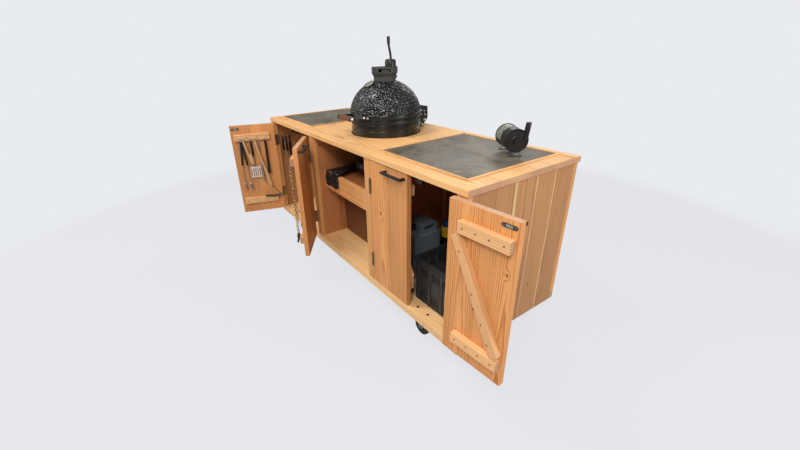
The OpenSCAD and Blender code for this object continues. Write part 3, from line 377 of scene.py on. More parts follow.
def plated(name, base, rough=0.32):
    """Plated or brushed steel, with its lines along one way."""
    g = material(name)
    lines = g.noise(g.place((40, 40, 900)), 1.0, 4.0, 0.6)
    stain = g.patches(g.noise(g.place(), 35.0, 5.0, 0.6), 0.4, 0.75)
    shade = g.mix(g.times(stain, 0.5), base, shaded(base, 0.55))
    sheen = g.plus(g.times(stain, 0.15), g.scaled(lines, 0.18, rough - 0.08))
    return g.surface(Base_Color=shade, Metallic=1.0, Roughness=sheen, Normal=g.bump(lines, 0.00008, 0.5))


def clay(name, base, grain=160.0):
    """Unglazed refractory, cloth or felt: a dry, open surface."""
    g = material(name)
    at = g.place()
    pores = g.noise(at, grain, 5.0, 0.65)
    soot = g.patches(g.noise(at, 11.0, 4.0))
    shade = g.mix(pores, shaded(base, 0.7), shaded(base, 1.2))
    shade = g.mix(g.times(soot, 0.45), shade, shaded(base, 0.35))
    return g.surface(Base_Color=shade, Roughness=g.scaled(pores, 0.2, 0.75), Normal=g.bump(pores, 0.001, 0.6))


def hide(name, base):
    """Shiny black leather with pebbled grain and creases."""
    g = material(name)
    at = g.place()
    pebble = g.add("TexVoronoi", {"Vector": at, "Scale": 420.0}, feature="DISTANCE_TO_EDGE").outputs["Distance"]
    crease = g.noise(at, 55.0, 5.0, 0.6, warp=0.8)
    height = g.plus(g.times(g.math("MINIMUM", pebble, 0.35), 0.5), crease)
    shade = g.mix(g.patches(crease, 0.4, 0.75), base, shaded(base, 2.2, 0.004))
    return g.surface(Base_Color=shade, Roughness=g.scaled(crease, 0.25, 0.18), Normal=g.bump(height, 0.0022, 0.6))


def cloudy(name, base):
    """Translucent blow-moulded plastic."""
    g = material(name)
    at = g.place()
    skin = g.noise(at, 300.0)
    shade = g.mix(g.noise(at, 8.0), shaded(base, 0.85), base)
    return g.surface(Base_Color=shade, Roughness=g.scaled(skin, 0.15, 0.30), Subsurface_Weight=0.2,
                     Subsurface_Radius=(0.03, 0.03, 0.035), Normal=g.bump(skin, 0.0002, 0.5))


def hatched(name, base, light, dark):
    """Printed foil with a plain crossed hatch."""
    g = material(name)
    at = g.place()
    x, y, z = g.split(at)
    a = g.math("PINGPONG", g.plus(g.plus(x, z), y), 0.006)
    b = g.math("PINGPONG", g.minus(g.plus(x, y), z), 0.006)
    lines = g.smooth(g.math("MINIMUM", a, b), 0.0006, 0.0016)
    wear = g.noise(at, 90.0, 4.0)
    shade = g.mix(g.times(lines, 0.6), light, base)
    shade = g.mix(g.patches(wear, 0.45, 0.75), shade, dark)
    return g.surface(Base_Color=shade, Roughness=g.scaled(wear, 0.3, 0.25), Normal=g.bump(wear, 0.0003, 0.4))


# Contrast of the rings in each wood, and where its sapwood starts if that differs
# The deck and rail woods hold painted light; the deep wood holds painted shade
WOODS = {
    "top": (0.85,), "front": (0.85,), "side": (0.7,), "inner": (0.8,), "door": (1.0,), "ledge": (0.7,),
    "deck": (0.75,), "rail": (1.0,), "deep": (0.9,), "end": (0.8, 1.0),
}
MADE = {}


def finishes():
    """Every material of the kitchen, made once."""
    if MADE:
        return MADE
    scene = bpy.context.scene
    timbers, tiles, grill = scene.kitchen_timber, scene.kitchen_tiles, scene.kitchen_kamado
    fittings, gear = scene.kitchen_fittings, scene.kitchen_gear
    sap, knot = tuple(timbers.sapwood), tuple(timbers.knot)
    for key, more in WOODS.items():
        early, late = (tuple(getattr(timbers, key + part)) for part in ("_early", "_late"))
        MADE[key] = softwood("wood_" + key, early, late, sap, knot, timbers.ring_width, *more)
    MADE["bar"] = softwood("wood_bar", tint("#7a4a26"), tint("#3e2110"), sap, knot, timbers.ring_width, 0.9,
                           gloss=0.1)
    MADE["tile"] = stone("stone_tile", tuple(tiles.dark), tuple(tiles.light))
    MADE["label"] = hatched("fan_label", tint("#4a4d44"), tint("#9a9d8c"), tint("#1d1e1b"))
    for key, kind, name, base, *more in (
            ("glaze", glaze, "dimpled_glaze", grill.glaze),
            ("smooth_glaze", coat, "smooth_glaze", grill.glaze, 0.16, 60.0, 0.0002),
            ("band", coat, "band_enamel", grill.bands, 0.30, 300.0, 0.0002),
            ("cap", coat, "cast_iron", grill.cap, 0.60, 420.0, 0.0005),
            ("clay", clay, "fire_clay", grill.clay),
            ("felt", clay, "felt", tint("#3a3835"), 500.0),
            ("black", coat, "powder_coat", fittings.black, 0.50),
            ("plate", coat, "dark_plate", fittings.plate, 0.38),
            ("zinc", plated, "zinc_plate", fittings.zinc),
            ("hinge", plated, "hinge_steel", fittings.hinge, 0.36),
            ("chrome", plated, "chrome", tint("#d8d8d6"), 0.14),
            ("steel", plated, "tool_steel", gear.steel, 0.26),
            ("blade", plated, "blade_steel", tint("#efefec"), 0.5),
            ("rubber", coat, "tyre_rubber", fittings.tyre, 0.62, 500.0, 0.0003),
            ("crate", coat, "crate_plastic", gear.crate, 0.42, 600.0, 0.0002),
            ("plastic", coat, "black_plastic", tint("#0c0c0d"), 0.36, 700.0, 0.0002),
            ("red", coat, "red_plastic", gear.red, 0.30, 700.0, 0.0001),
            ("yellow", coat, "yellow_plastic", gear.yellow, 0.34, 700.0, 0.0001),
            ("blue", coat, "blue_plastic", gear.blue, 0.34, 700.0, 0.0001),
            ("brass", plated, "brass_wire", tint("#b08d57"), 0.30),
            # The can's plastic carries painted shade
            ("can", cloudy, "can_plastic", gear.can),
            ("hide", hide, "glove_leather", gear.leather),
            ("green", coat, "dark_green_plastic", tint("#14201a"), 0.40, 600.0, 0.0002),
            ("dial", coat, "dial_face", tint("#7f8476"), 0.40, 300.0, 0.00005),
            ("pale_wood", clay, "turned_wood", gear.handle, 90.0),
            ("cloth", clay, "pouch_cloth", tint("#1c1c1e"), 900.0)):
        MADE[key] = kind(name, tuple(base), *more)
    return MADE


# Mesh helpers

def link(name, data):
    made = bpy.data.objects.new(name, data)
    bpy.context.scene.collection.objects.link(made)
    return made


def to_mesh(bm, name):
    mesh = bpy.data.meshes.new(name)
    bm.to_mesh(mesh)
    bm.free()
    return mesh


def keep(bm, name, materials, body, stands_for=(), smooth=None):
    """Ends a bmesh as one named piece that rides on a body."""
    bmesh.ops.remove_doubles(bm, verts=bm.verts, dist=1e-6)
    if smooth is not None:
        for face in bm.faces:
            face.smooth = True
        for edge in bm.edges:
            sharp = len(edge.link_faces) != 2 or edge.calc_face_angle(0) > math.radians(smooth)
            edge.smooth = not sharp
    piece = link(name, to_mesh(bm, name))
    for each in (materials if isinstance(materials, list) else [materials]):
        piece.data.materials.append(each)
    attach(piece, body)
    if stands_for:
        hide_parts(*stands_for)
    return piece


def body_of_node(node):
    return frame["nodes"][node]["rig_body"]


def welded(node):
    """A CAD node's mesh as one clean bmesh, with its flat faces joined."""
    bm = bmesh.new()
    bm.from_mesh(frame["nodes"][node].data)
    bmesh.ops.remove_doubles(bm, verts=bm.verts, dist=1e-6)
    bmesh.ops.dissolve_limit(bm, angle_limit=0.004, verts=bm.verts, edges=bm.edges)
    return bm


def bevel(bm, edges, size, segments=2, clamp=False):
    return bmesh.ops.bevel(bm, geom=edges, offset=size, offset_type="OFFSET", segments=segments, profile=0.5,
                           affect="EDGES", clamp_overlap=clamp, material=-1)


def ease(bm, size, shortest):
    """Rounds the sharp arrises that are at least so long."""
    bevel(bm, [e for e in bm.edges if len(e.link_faces) == 2 and e.calc_length() >= shortest
               and e.calc_face_angle(0) > math.radians(40)], size)


def faces_of(verts):
    return {f for v in verts for f in v.link_faces}


def dress(node, materials, size=0.0006, shortest=0.004, pick=None):
    """A rounded, smooth-shaded copy of a CAD node stands for it; pick chooses the material of each of its solids."""
    bm = welded(node)
    if size:
        ease(bm, size, shortest)
    if pick:
        for group in islands(bm):
            for face in faces_of(group):
                face.material_index = pick(group)
    return keep(bm, node + "_skin", materials, body_of_node(node), (node,), 32)


def islands(bm):
    """The separate boards of a mesh, in the order of their places."""
    left, found = set(bm.verts), []
    for seed in bm.verts:
        if seed not in left:
            continue
        group, edge = [], [seed]
        left.discard(seed)
        while edge:
            vert = edge.pop()
            group.append(vert)
            for join in vert.link_edges:
                other = join.other_vert(vert)
                if other in left:
                    left.discard(other)
                    edge.append(other)
        found.append(group)
    return sorted(found, key=lambda group: [round(min(v.co[k] for v in group), 4) for k in range(3)])


def forward(way):
    """A way, turned round if its largest part is negative."""
    return -way if max(way, key=abs) < 0 else way


def board_axes(group):
    """The way of a board's grain, its width and its thickness: its longest edge runs along the grain."""
    edges = sorted({e for v in group for e in v.link_edges}, key=lambda e: -e.calc_length())
    ways = [(e.verts[1].co - e.verts[0].co).normalized() for e in edges]
    along = forward(ways[0])
    level = next((way for way in ways if abs(way.dot(along)) < 0.12), None) or along.orthogonal()
    across = forward((level - along * level.dot(along)).normalized())
    return along, across, along.cross(across)


def timber(node, main, seed, chance=0.25, across=None):
    """Boards of a CAD node with eased edges, each with its grain, its character, its knots and darker sawn ends."""
    bm = welded(node)
    ease(bm, bpy.context.scene.kitchen_timber.round_over, 0.010)
    grain, board, *knots = [bm.verts.layers.float_vector.new(key) for key in ("grain", "board", "knot_a", "knot_b")]
    rng = random.Random(seed)
    for group in islands(bm):
        axes = board_axes(group)
        low = [min(v.co.dot(a) for v in group) for a in axes]
        high = [max(v.co.dot(a) for v in group) for a in axes]
        middle = [(p + q) / 2 for p, q in zip(low, high)]
        half = (high[0] - low[0]) / 2, (high[1] - low[1]) / 2
        own = Vector((rng.random(), rng.random(), rng.random()))
        marks = []
        for _ in knots:
            draw = rng.random(), rng.uniform(-0.85, 0.85), rng.uniform(-0.7, 0.7), rng.uniform(0.004, 0.008)
            if draw[0] < chance and half[1] > 0.03:
                marks.append((draw[1] * half[0], draw[2] * half[1], draw[3]))
        marks += [(9, 9, 0)] * (len(knots) - len(marks))
        for v in group:
            v[grain] = [v.co.dot(a) - m for a, m in zip(axes, middle)]
            v[board] = own
            for layer, mark in zip(knots, marks):
                v[layer] = mark
        lies = abs(axes[0].z) < 0.9
        for face in faces_of(group):
            face.material_index = 2 if abs(face.normal.dot(axes[0])) > 0.9 else int(lies)
    materials = [main, across or main, finishes()["end"]]
    return keep(bm, node + "_timber", materials, body_of_node(node), (node,))


def paint(bm, faces, index):
    """Turns new faces outwards and gives them their material."""
    bmesh.ops.recalc_face_normals(bm, faces=faces)
    for face in faces:
        face.material_index = index


def lathe(bm, profile, at=KAMADO, axis=UP, steps=96, index=0):
    """Turns (radius, height) points once about an axis, closed at both ends where they meet it."""
    verts_before, faces_before = set(bm.verts), set(bm.faces)
    turn = Vector(axis).to_track_quat("Z", "Y").to_matrix().to_4x4()
    verts = [bm.verts.new((r, 0, h)) for r, h in profile]
    edges = [bm.edges.new(pair) for pair in zip(verts, verts[1:])]
    bmesh.ops.spin(bm, geom=verts + edges, cent=(0, 0, 0), axis=UP, angle=math.tau, steps=steps,
                   use_merge=True, use_duplicate=False)
    bmesh.ops.remove_doubles(bm, verts=[v for v in bm.verts if v not in verts_before], dist=1e-6)
    bmesh.ops.transform(bm, matrix=Matrix.Translation(at) @ turn,
                        verts=[v for v in bm.verts if v not in verts_before])
    paint(bm, [f for f in bm.faces if f not in faces_before], index)


def rod(bm, a, b, r, r_end, sides=16, index=0):
    """A round bar between two points, with slightly rounded ends."""
    a, b = Vector(a), Vector(b)
    long, round_end = (b - a).length, min(r, r_end) * 0.35
    profile = [(0, 0), (r - round_end, 0), (r, round_end), (r_end, long - round_end),
               (r_end - round_end, long), (0, long)]
    lathe(bm, profile, a, (b - a).normalized(), sides, index)


def block(bm, low, high, size=0.0, index=0, matrix=None, segments=2):
    """A box given by its low and high corners, with rounded arrises."""
    low, high = Vector(low), Vector(high)
    made = bmesh.ops.create_cube(bm, size=1.0)["verts"]
    bmesh.ops.scale(bm, vec=high - low, verts=made)
    bmesh.ops.translate(bm, vec=(low + high) / 2, verts=made)
    faces = faces_of(made)
    if size:
        out = bevel(bm, list({e for v in made for e in v.link_edges}), size, segments, True)
        faces = faces_of(out["verts"]) | {f for f in faces if f.is_valid}
    verts = list({v for f in faces for v in f.verts})
    for face in faces:
        face.material_index = index
    if matrix is not None:
        bmesh.ops.transform(bm, matrix=matrix, verts=verts)
        if matrix.determinant() < 0:
            bmesh.ops.reverse_faces(bm, faces=list(faces))
    return verts


def wire(bm, points, r, sides=8, closed=False, index=0):
    """A round wire along a row of points."""
    rings = []
    points = [Vector(p) for p in points]
    count = len(points)
    for i, p in enumerate(points):
        a = points[(i - 1) % count] if closed or i > 0 else p
        b = points[(i + 1) % count] if closed or i < count - 1 else p
        way = (b - a).normalized()
        turn = Matrix.Translation(p) @ way.to_track_quat("Z", "X").to_matrix().to_4x4()
        ring = bmesh.ops.create_circle(bm, segments=sides, radius=r, matrix=turn)["verts"]
        if rings:
            last = rings[-1]
            near = min(range(sides), key=lambda k: (ring[k].co - last[0].co).length)
            ring = ring[near:] + ring[:near]
            if (ring[1].co - last[1].co).length > (ring[-1].co - last[1].co).length:
                ring = [ring[0]] + ring[:0:-1]
        rings.append(ring)
    made = [] if closed else [bm.faces.new(rings[0]), bm.faces.new(rings[-1])]
    for p, q in list(zip(rings, rings[1:])) + ([(rings[-1], rings[0])] if closed else []):
        offset = min(range(sides), key=lambda k: (q[k].co - p[0].co).length)
        q = q[offset:] + q[:offset]
        for k in range(sides):
            made.append(bm.faces.new((p[k], p[(k + 1) % sides], q[(k + 1) % sides], q[k])))
    paint(bm, made, index)


def arc(centre, a, r, start_angle, end_angle, count):
    """Points on an upright arc that starts towards the way a."""
    turns = [math.radians(start_angle + (end_angle - start_angle) * i / count) for i in range(count + 1)]
    return [Vector(centre) + Vector(a) * r * math.cos(t) + UP * r * math.sin(t) for t in turns]


def screw(bm, at, out, r):
    """A countersunk screw head with a cross recess, its face just proud of the surface."""
    turn = Matrix.Translation(Vector(at)) @ Vector(out).to_track_quat("Z", "Y").to_matrix().to_4x4()
    before = set(bm.faces)
    disc = bmesh.ops.create_circle(bm, cap_ends=True, segments=16, radius=r, matrix=turn)["verts"]
    face = next(iter(set(bm.faces) - before))
    for inset, rise in ((0.20, 0.12), (0.30, 0.0), (0.08, -0.45)):
        bmesh.ops.inset_individual(bm, faces=[face], thickness=r * inset, depth=r * rise)
    rim = [e for e in bm.edges if e.is_boundary and any(v in disc for v in e.verts)]
    down = bmesh.ops.extrude_edge_only(bm, edges=rim)["geom"]
    bmesh.ops.translate(bm, vec=-Vector(out).normalized() * r * 0.3,
                        verts=[v for v in down if isinstance(v, bmesh.types.BMVert)])


def nut(bm, at, out, r=0.0075, index=0):
    """A domed cap nut on its washer; the heights and widths are shares of its radius."""
    dome = [(0.88 * math.cos(t), 0.95 + 0.8 * math.sin(t)) for t in [i * math.pi / 12 for i in range(7)]]
    for sides, profile in ((20, [(0, 0), (1.35, 0), (1.35, 0.2), (0, 0.2)]),
                           (6, [(0, 0.2), (1.1, 0.2), (1.1, 0.9), (0.95, 1), (0, 1)]),
                           (20, [(0, 0.9)] + dome)):
        lathe(bm, [(r * x, r * z) for x, z in profile], Vector(at), Vector(out).normalized(), sides, index)


def on_door(key):
    """Closed-door coordinates, u from the pin, v behind it, z above the ground, put on the open door."""
    x, side, angle = DOORS[key][:3]
    mirror = Matrix.Diagonal((side, 1, 1, 1))
    return Matrix.Translation((x, PIN_Y, 0)) @ Matrix.Rotation(-side * math.radians(angle), 4, "Z") @ mirror


def way_of(place, *way):
    """A way before a placing, as the unit way after it."""
    return (place.to_3x3() @ Vector(way)).normalized()


def axes_at(at, *ways):
    """The placing that puts the three axes along three ways at a point."""
    place = Matrix(ways).transposed().to_4x4()
    place.translation = at
    return place


def put(bm, place):
    """Moves all that was built and keeps its faces outward."""
    bmesh.ops.transform(bm, matrix=place, verts=bm.verts)
    bmesh.ops.recalc_face_normals(bm, faces=bm.faces)


# Operators

class KITCHEN_OT_timber(bpy.types.Operator):
    """Gives every board of the cabinet and the worktop its grain, knots and eased edges"""
    bl_idname = "kitchen.timber"
    bl_label = "Cabinet timber"

    def execute(self, context):
        # Node, wood, seed of its draws, and the chance of a knot where it isn't the usual one
        # The deck and the rail take woods lightened with painted light; the niche's back boards take one darkened
        # with painted shade
        for node, wood, seed, *chance in (
                ("worktop_planks", "top", 11, 0.5), ("tile_trim", "top", 12, 0),
                ("upright_battens", "front", 13, 0), ("side_planks", "side", 14, 0.5),
                ("divider_planks", "inner", 15), ("back_wall_planks", "inner", 16), ("deck_planks", "deck", 17),
                ("shelf_rails", "rail", 18, 0), ("shelf_planks", "inner", 19),
                ("niche_back_boards", "deep", 20, 0.6)):
            timber(node, finishes()[wood], seed, *chance)
        return {"FINISHED"}


class KITCHEN_OT_tiles(bpy.types.Operator):
    """Rounds the tiles' edges and gives them their stone look"""
    bl_idname = "kitchen.tiles"
    bl_label = "Tiles"

    def execute(self, context):
        dress("worktop_tiles", finishes()["tile"], context.scene.kitchen_tiles.round_over, 0.01)
        return {"FINISHED"}


class KITCHEN_OT_doors(bpy.types.Operator):
    """Plank doors with their ledges, braces and screws"""
    bl_idname = "kitchen.doors"
    bl_label = "Doors"

    def execute(self, context):
        m = finishes()
        for number, key in enumerate(DOORS):
            timber("door_%s_leaf" % key, m["door"], 31 + number, across=m["ledge"])
            self.screws(key, m["black"], context.scene.kitchen_fittings.screw)
        return {"FINISHED"}

    def screws(self, key, black, r):
        """Four screws in each ledge, and on the narrow doors the brace's."""
        width, inner, outer = DOORS[key][3:]
        margin, proud = 0.024, 0.0002
        low, high = PIN_GAP + inner + margin, PIN_GAP + width - outer - margin
        spots = [(low + i * (high - low) / 3, z) for z in LEDGES for i in range(4)]
        if key in "de":
            spots += mm((83, 708), (158, 552), (172, 493), (213, 442), (248, 367))
        place = on_door(key)
        bm = bmesh.new()
        for u, z in spots:
            screw(bm, place @ Vector((u, LEDGE_FACE + proud, z)), way_of(place, 0, 1, 0), r)
        keep(bm, "door_%s_screws" % key, black, "door_" + key, smooth=40)


class KITCHEN_OT_fittings(bpy.types.Operator):
    """Bar handles, hinges, catch plates and magnetic catches"""
    bl_idname = "kitchen.fittings"
    bl_label = "Door fittings"

    def execute(self, context):
        m = finishes()
        for key in DOORS:
            dress("door_%s_handle" % key, m["black"], 0.0008, 0.008)
            dress("door_%s_hinges" % key, m["hinge"], 0)
            dress("door_%s_catch_plate" % key, m["plate"], 0.0004, 0.001)
            self.plate_screws(key, [m["zinc"], m["dial"]])
        dress("hinge_frame_halves", m["hinge"], 0)
        dress("magnetic_catches", m["plastic"], 0.001, 0.01)
        return {"FINISHED"}

    def plate_screws(self, key, materials):
        """Two screws in a catch plate and the pale pad between them."""
        middle = sum(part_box("door_%s_catch_plate" % key), Vector()) / 2
        place = on_door(key)
        along, out = way_of(place, 1, 0, 0), way_of(place, 0, 1, 0)
        rise, pitch, head, pad = 0.0009, 0.0225, 0.0032, Vector(mm(13.5, 5.6, 1.3))
        bm = bmesh.new()
        for side in (-1, 1):
            screw(bm, middle + out * rise + along * side * pitch, out, head)
        block(bm, -pad, pad, 0.0003, 1, axes_at(middle, along, UP, along.cross(UP)), 1)
        keep(bm, "door_%s_plate_screws" % key, materials, "door_" + key, smooth=40)


class KITCHEN_OT_castors(bpy.types.Operator):
    """Castor plates, forks, wheels and their bolts"""
    bl_idname = "kitchen.castors"
    bl_label = "Castors"

    def execute(self, context):
        m = finishes()
        dress("castor_plates", m["zinc"], 0)
        dress("castor_bolts", m["plate"], 0)
        for corner in ("fl", "fr", "bl", "br"):
            dress("castor_fork_" + corner, m["zinc"], 0)
            dress("castor_wheel_" + corner, m["rubber"], 0)
        return {"FINISHED"}


class KITCHEN_OT_kamado(bpy.types.Operator):
    """Glazed base and dome, bands, vent and the parts inside"""
    bl_idname = "kitchen.kamado"
    bl_label = "Kamado"

    def execute(self, context):
        m = finishes()
        settings = context.scene.kitchen_kamado
        # Node, material, and the rounding of its edges with the shortest edge that takes it
        for node, key, *rounding in (
                ("kamado_base", "smooth_glaze", 0), ("kamado_dome", "smooth_glaze", 0),
                ("upper_band", "band", 0.0006, 0.006), ("lower_band", "band", 0.0006, 0.006),
                ("kamado_feet", "clay", 0.002, 0.01), ("firebox", "clay", 0), ("grates", "steel", 0),
                ("base_gasket", "felt", 0), ("draught_frame", "band", 0.001, 0.01), ("draught_door", "zinc", 0),
                ("chimney_collar", "cap", 0)):
            dress(node, m[key], *rounding)
        self.dimples(m["glaze"], settings.dimple)
        self.beads(m["smooth_glaze"], settings.steps)
        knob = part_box("vent_cap")[0].z + 0.06
        dress("vent_cap", [m["cap"], m["plastic"]], 0, pick=lambda group: int(max(v.co.z for v in group) > knob))
        timber("handle_bar", m["bar"], 41, chance=0)
        return {"FINISHED"}

    def dimples(self, material, width):
        """The glaze on the dome: a thin coat that pulls into small worm-like dimples."""
        radius, rise, level = DOME
        proud, sunk, deep = 0.0004, 0.002, 0.0036
        count, steps, inner_step = 140, 520, 10
        # Height where the coat begins, radius where it ends, share of the radius round the top that stays plain,
        # measure that parts the outer skin from the inner one, and how far a wave may sink
        lip, crown, plain, skin, lowest = 0.017, 0.0676, 0.2, 0.992, -0.06
        low, high = math.asin(lip / rise), math.acos(crown / radius)
        curve = [low + i * (high - low) / count for i in range(count + 1)]
        outer, inner = ([((radius + grow) * math.cos(t), level + (rise + grow) * math.sin(t)) for t in turns]
                        for grow, turns in ((proud, curve), (-sunk, curve[::-inner_step])))
        bm = bmesh.new()
        lathe(bm, outer + inner + outer[:1], steps=steps)
        for v in bm.verts:
            out = v.co - KAMADO - UP * level
            spread = math.hypot(out.x, out.y) / radius
            if spread > plain and spread ** 2 + (out.z / rise) ** 2 > skin:
                way = Vector((out.x / radius ** 2, out.y / radius ** 2, out.z / rise ** 2)).normalized()
                bend = noise.noise_vector(v.co / (2 * width)) * width * 0.5
                wave = 1 - 2.6 * abs(noise.noise((v.co + bend) / width))
                v.co += way * deep * max(lowest, wave)
        keep(bm, "dome_glaze", material, "kamado_lid", smooth=80)

    def beads(self, material, steps):
        """Rounded edges that catch the light: the dome's lip, the edges of both bands, the bulge of the base."""
        circle = [i * math.tau / 10 for i in range(11)]
        for name, body, node, rows in (
                ("lid_beads", "kamado_lid", "upper_band",
                 mm((217, 1055, 5), (219.6, 1031, 1.6), (219.6, 1051.2, 1.2))),
                ("base_beads", "cabinet", "lower_band",
                 mm((219.6, 1001.2, 1.6), (219.6, 1021.2, 1.2), (212.8, 962.5, 3.6)))):
            bm = bmesh.new()
            for radius, z, r in rows:
                lathe(bm, [(radius + r * math.cos(t), z + r * math.sin(t)) for t in circle], steps=steps)
            keep(bm, name, material, body, smooth=80)


class KITCHEN_OT_kamado_fittings(bpy.types.Operator):
    """Thermometer with its dial, cap nuts on the handle and the hinge"""
    bl_idname = "kitchen.kamado_fittings"
    bl_label = "Kamado fittings"

    def execute(self, context):
        m = finishes()
        self.thermometer([m["plate"], m["dial"], m["plastic"]])
        self.nuts(m)
        return {"FINISHED"}

    def thermometer(self, materials):
        """The case with its stem, set square on the dome, then the dial, 31 ticks, the hand and its hub."""
        angle, dial_level = math.radians(60), 0.0105
        radius, rise, level = DOME
        slope = math.atan2(radius * math.sin(angle), rise * math.cos(angle))
        out = Vector((0, -math.cos(slope), math.sin(slope)))
        foot = KAMADO + Vector((0, -radius * math.cos(angle), level + rise * math.sin(angle)))
        side = Vector((1, 0, 0))
        bm = bmesh.new()
        lathe(bm, mm((0, -60), (4.5, -60), (4.5, -0.7), (14.5, -0.7), (14.5, 3), (31, 3), (33, 5), (33, 11.5),
                     (32.2, 12.5), (30.5, 12.8), (29, 12.2), (28.5, 10.5), (0, 10.5)), foot, out, 64)
        face = axes_at(foot + out * dial_level, side, out.cross(side), out)
        lathe(bm, mm((0, 0), (28.2, 0), (28.2, 0.4), (0, 0.4)), face.translation, out, 48, 1)
        for i in range(31):
            tick = 21.0 if i % 5 == 0 else 23.2
            self.bar(bm, face, 225 - i * 9, (tick, -0.3, 0.2), (26.2, 0.3, 0.7))
        self.bar(bm, face, 205, (-6, -0.7, 0.8), (21, 0.7, 1.4))
        lathe(bm, mm((0, 0), (2.6, 0), (2.6, 2), (1.6, 2.6), (0, 2.6)), face.translation, out, 20, 2)
        keep(bm, "thermometer_dial", materials, "kamado_lid", ("thermometer",), 35)

    def bar(self, bm, face, angle, low, high):
        """A dark bar on the dial, turned about its middle, in mm."""
        block(bm, mm(*low), mm(*high), 0, 2, face @ Matrix.Rotation(math.radians(angle), 4, "Z"))

    def nuts(self, m):
        """Cap nuts: at both ends of the handle's rod, on the clamping lugs and on the hinge."""
        bar = sum(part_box("handle_bar"), Vector()) / 2
        lid, base = bmesh.new(), bmesh.new()
        for side in (-1, 1):
            way = (side, 0, 0)
            nut(lid, (KAMADO.x + side * 0.0791, bar.y, bar.z), way)
            for angle in (20.5, 27.5):
                turn = math.radians(angle)
                out = Vector((side * math.sin(turn), -math.cos(turn), 0))
                nut(lid, KAMADO + out * 0.2229 + UP * 1.0445, out, 0.0058, 1)
            for y, z, r in mm((262, 1038, 6.5), (258, 1015, 6.5), (296, 1030, 4.5), (302, 1006, 4.5)):
                nut(lid, (KAMADO.x + side * 0.0521, y, z), way, r, 1)
            self.lug(lid, side)
            for x, y, z, r in mm((59.1, 271, 948, 6.5), (64.1, 288, 977, 7.5)):
                nut(base, (KAMADO.x + side * x, y, z), way, r)
        keep(lid, "kamado_lid_nuts", [m["chrome"], m["chrome"], m["band"]], "kamado_lid", smooth=35)
        keep(base, "kamado_base_nuts", m["chrome"], "cabinet", smooth=35)

    def lug(self, bm, side):
        """The curved plate of a handle bracket on the upper band."""
        before = set(bm.faces)
        start, sweep = math.radians(19.5), math.radians(12)
        ring = [bm.verts.new((KAMADO.x + side * r * math.sin(start), KAMADO.y - r * math.cos(start), z))
                for r, z in mm((216.8, 1033), (222.6, 1033), (222.6, 1058), (216.8, 1058))]
        face = bm.faces.new(ring)
        bmesh.ops.spin(bm, geom=[face, *face.edges, *ring], cent=KAMADO, axis=UP, angle=side * sweep, steps=6)
        paint(bm, [f for f in bm.faces if f not in before], 2)


